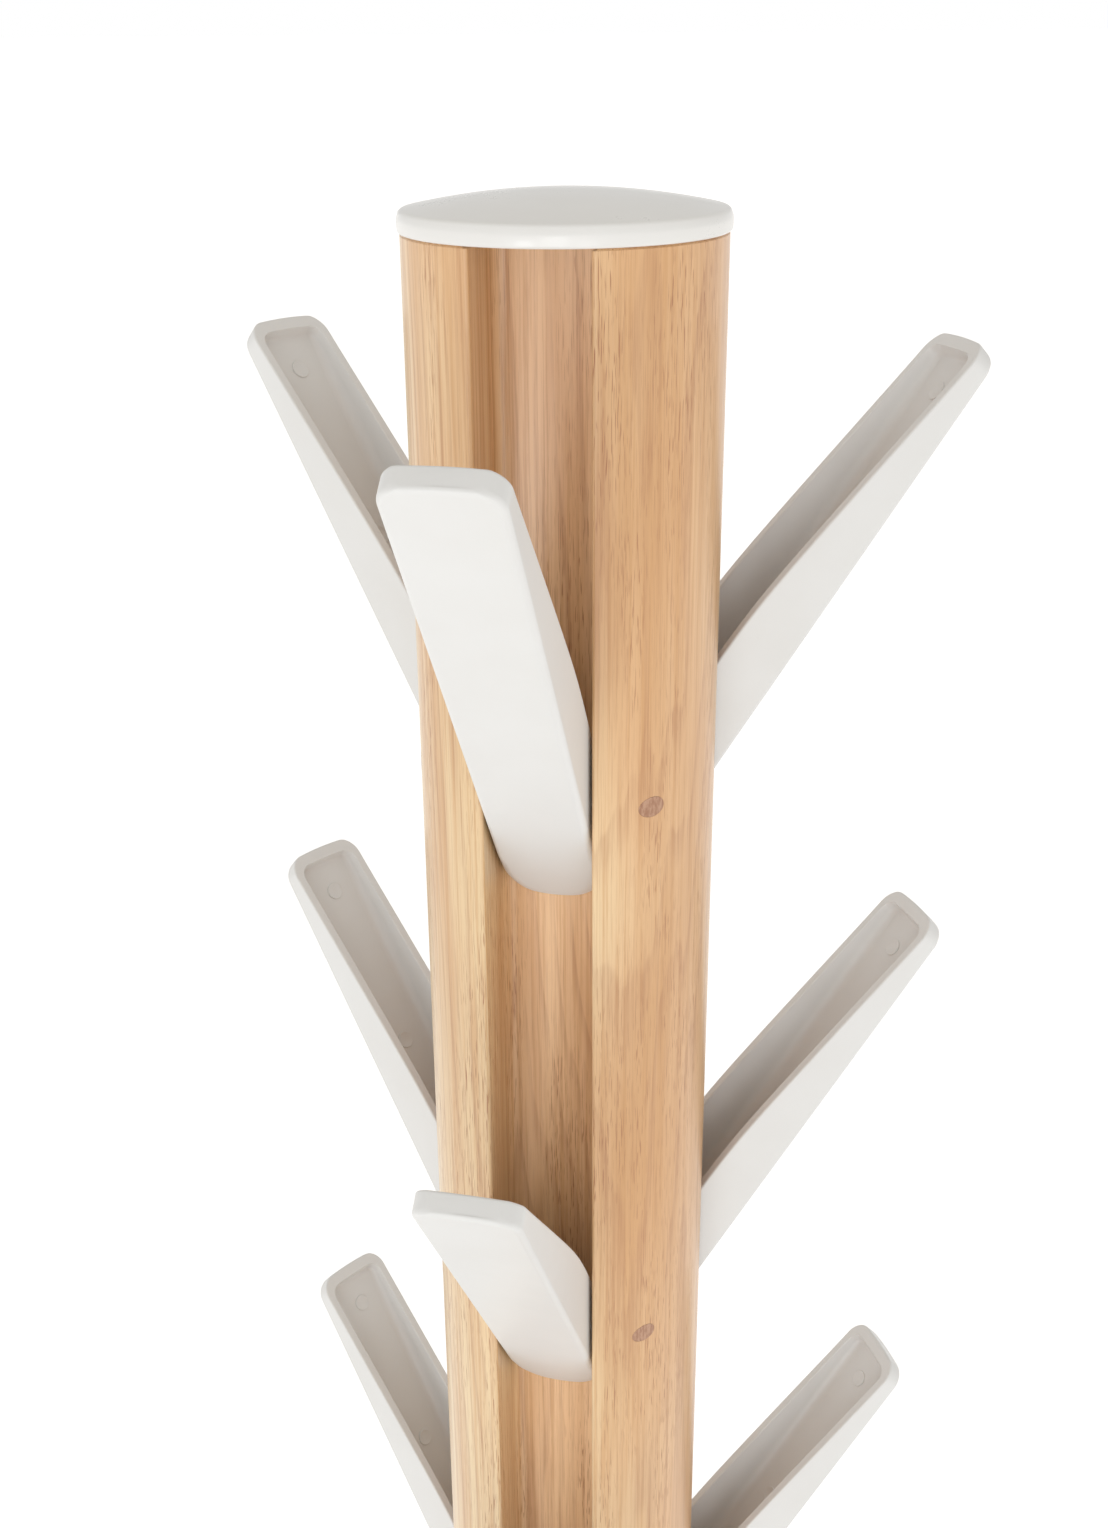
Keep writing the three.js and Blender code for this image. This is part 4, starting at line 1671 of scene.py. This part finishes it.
@dataclass(frozen=True)
class Softbox:
    """One rectangular area light, its place given from the top of the rack."""

    name: str
    place: Point3
    size: Point2
    power: float

    def build(self, top: float, aim: Vector, colour: Point3) -> None:
        """Makes the light.

        Args:
            top: The height of the rack's top.
            aim: The point that the light faces.
            colour: Its colour.
        """
        data = bpy.data.lights.new(self.name, "AREA")
        data.shape = "RECTANGLE"
        data.size, data.size_y = self.size
        data.energy = self.power
        data.color = colour
        light = in_scene(self.name, data)
        light.location = (self.place[0], self.place[1], top + self.place[2])
        direction = aim - light.location
        light.rotation_euler = direction.to_track_quat("-Z", "Y").to_euler()


@dataclass
class Studio:
    """A pale floor that glows beyond the rack, a surround that dims overhead, and soft lights."""

    floor_size: float = 600.0
    floor_glow: float = 0.46
    floor_tones: tuple[Colour, Colour] = ((0.91, 0.91, 0.91, 1.0), (0.89, 0.89, 0.89, 1.0))
    floor_speck: Grain = Grain(30.0, 3.0)
    glow_edge: Point2 = (0.6, 1.1)
    glow_band: Point2 = (0.035, 0.09)
    daylight: Point3 = (0.95, 0.975, 1.0)
    horizon: Colour = (0.73, 0.735, 0.74, 1.0)
    zenith: Colour = (0.75, 0.725, 0.68, 1.0)
    shaded_side: Colour = (0.67, 0.675, 0.68, 1.0)
    aim_below_top: float = 0.25
    lights: tuple[Softbox, ...] = (
        Softbox("key_left", (-0.5, -1.95, -0.65), (0.4, 0.5), 3.6),
        Softbox("key_right", (0.92, -1.77, -0.6), (0.4, 0.5), 1.3),
        Softbox("front_wash", (0.25, -2.3, -0.45), (0.7, 0.7), 4.8),
    )

    def build(self) -> None:
        """Makes the floor, the surround and the lights."""
        self.build_floor()
        self.build_surround()
        top = cad_box[1].z
        for light in self.lights:
            light.build(top, Vector((0.0, 0.0, top - self.aim_below_top)), self.daylight)
        settings = bpy.context.scene.view_settings
        settings.view_transform = "Standard"
        settings.look = "None"

    def build_surround(self) -> None:
        """Makes the world: white at the horizon, dimmer to the right and dimmer still overhead."""
        world = bpy.data.worlds.new("surround")
        world.use_nodes = True
        bpy.context.scene.world = world
        g = Graph(world.node_tree)
        towards = g.value("ShaderNodeTexCoord", {}, {}, "Generated")
        axes = g.node("ShaderNodeSeparateXYZ", {}, {0: towards})
        across = Value(g, axes.outputs["X"])
        upward = Value(g, axes.outputs["Z"])
        side = g.mix(across.ramp(0.1, 1.0), self.horizon, self.shaded_side)
        tone = g.mix(upward.ramp(0.05, 0.8), side, self.zenith)
        tone = g.mix(upward.ramp(*self.glow_band), WHITE, tone)
        g.feed(world.node_tree.nodes["Background"].inputs["Color"], tone)

    def build_floor(self) -> None:
        """Makes the floor."""
        half = self.floor_size / 2.0
        mesh = bpy.data.meshes.new("floor")
        corners = [(-half, -half, 0.0), (half, -half, 0.0), (half, half, 0.0), (-half, half, 0.0)]
        mesh.from_pydata(corners, [], [(0, 1, 2, 3)])
        floor = in_scene("floor", mesh)
        g = Surface("pale_floor")
        place = g.position()
        tone = g.mix(self.floor_speck.on(place), *self.floor_tones)
        glow = g.mix(g.from_axis(place).ramp(*self.glow_edge), BLACK, WHITE)
        dressed = g.finish(
            Base_Color=tone, Roughness=0.8, Emission_Color=glow, Emission_Strength=self.floor_glow
        )
        mesh.materials.append(dressed)


def main() -> None:
    """Builds the camera, the rack and the studio, in that order."""
    logging.basicConfig(level=logging.INFO, format="%(name)s: %(message)s")
    Camera().build()
    bench = Bench()
    Post().build(bench)
    Cap().build(bench)
    for mount in MOUNTS:
        Hook().build(bench, mount)
        HingePin().build(bench, mount)
    Hardware().build(bench)
    Base().build(bench)
    Studio().build()
    log.info("%d pieces", bench.count)


if __name__ == "__main__":
    main()
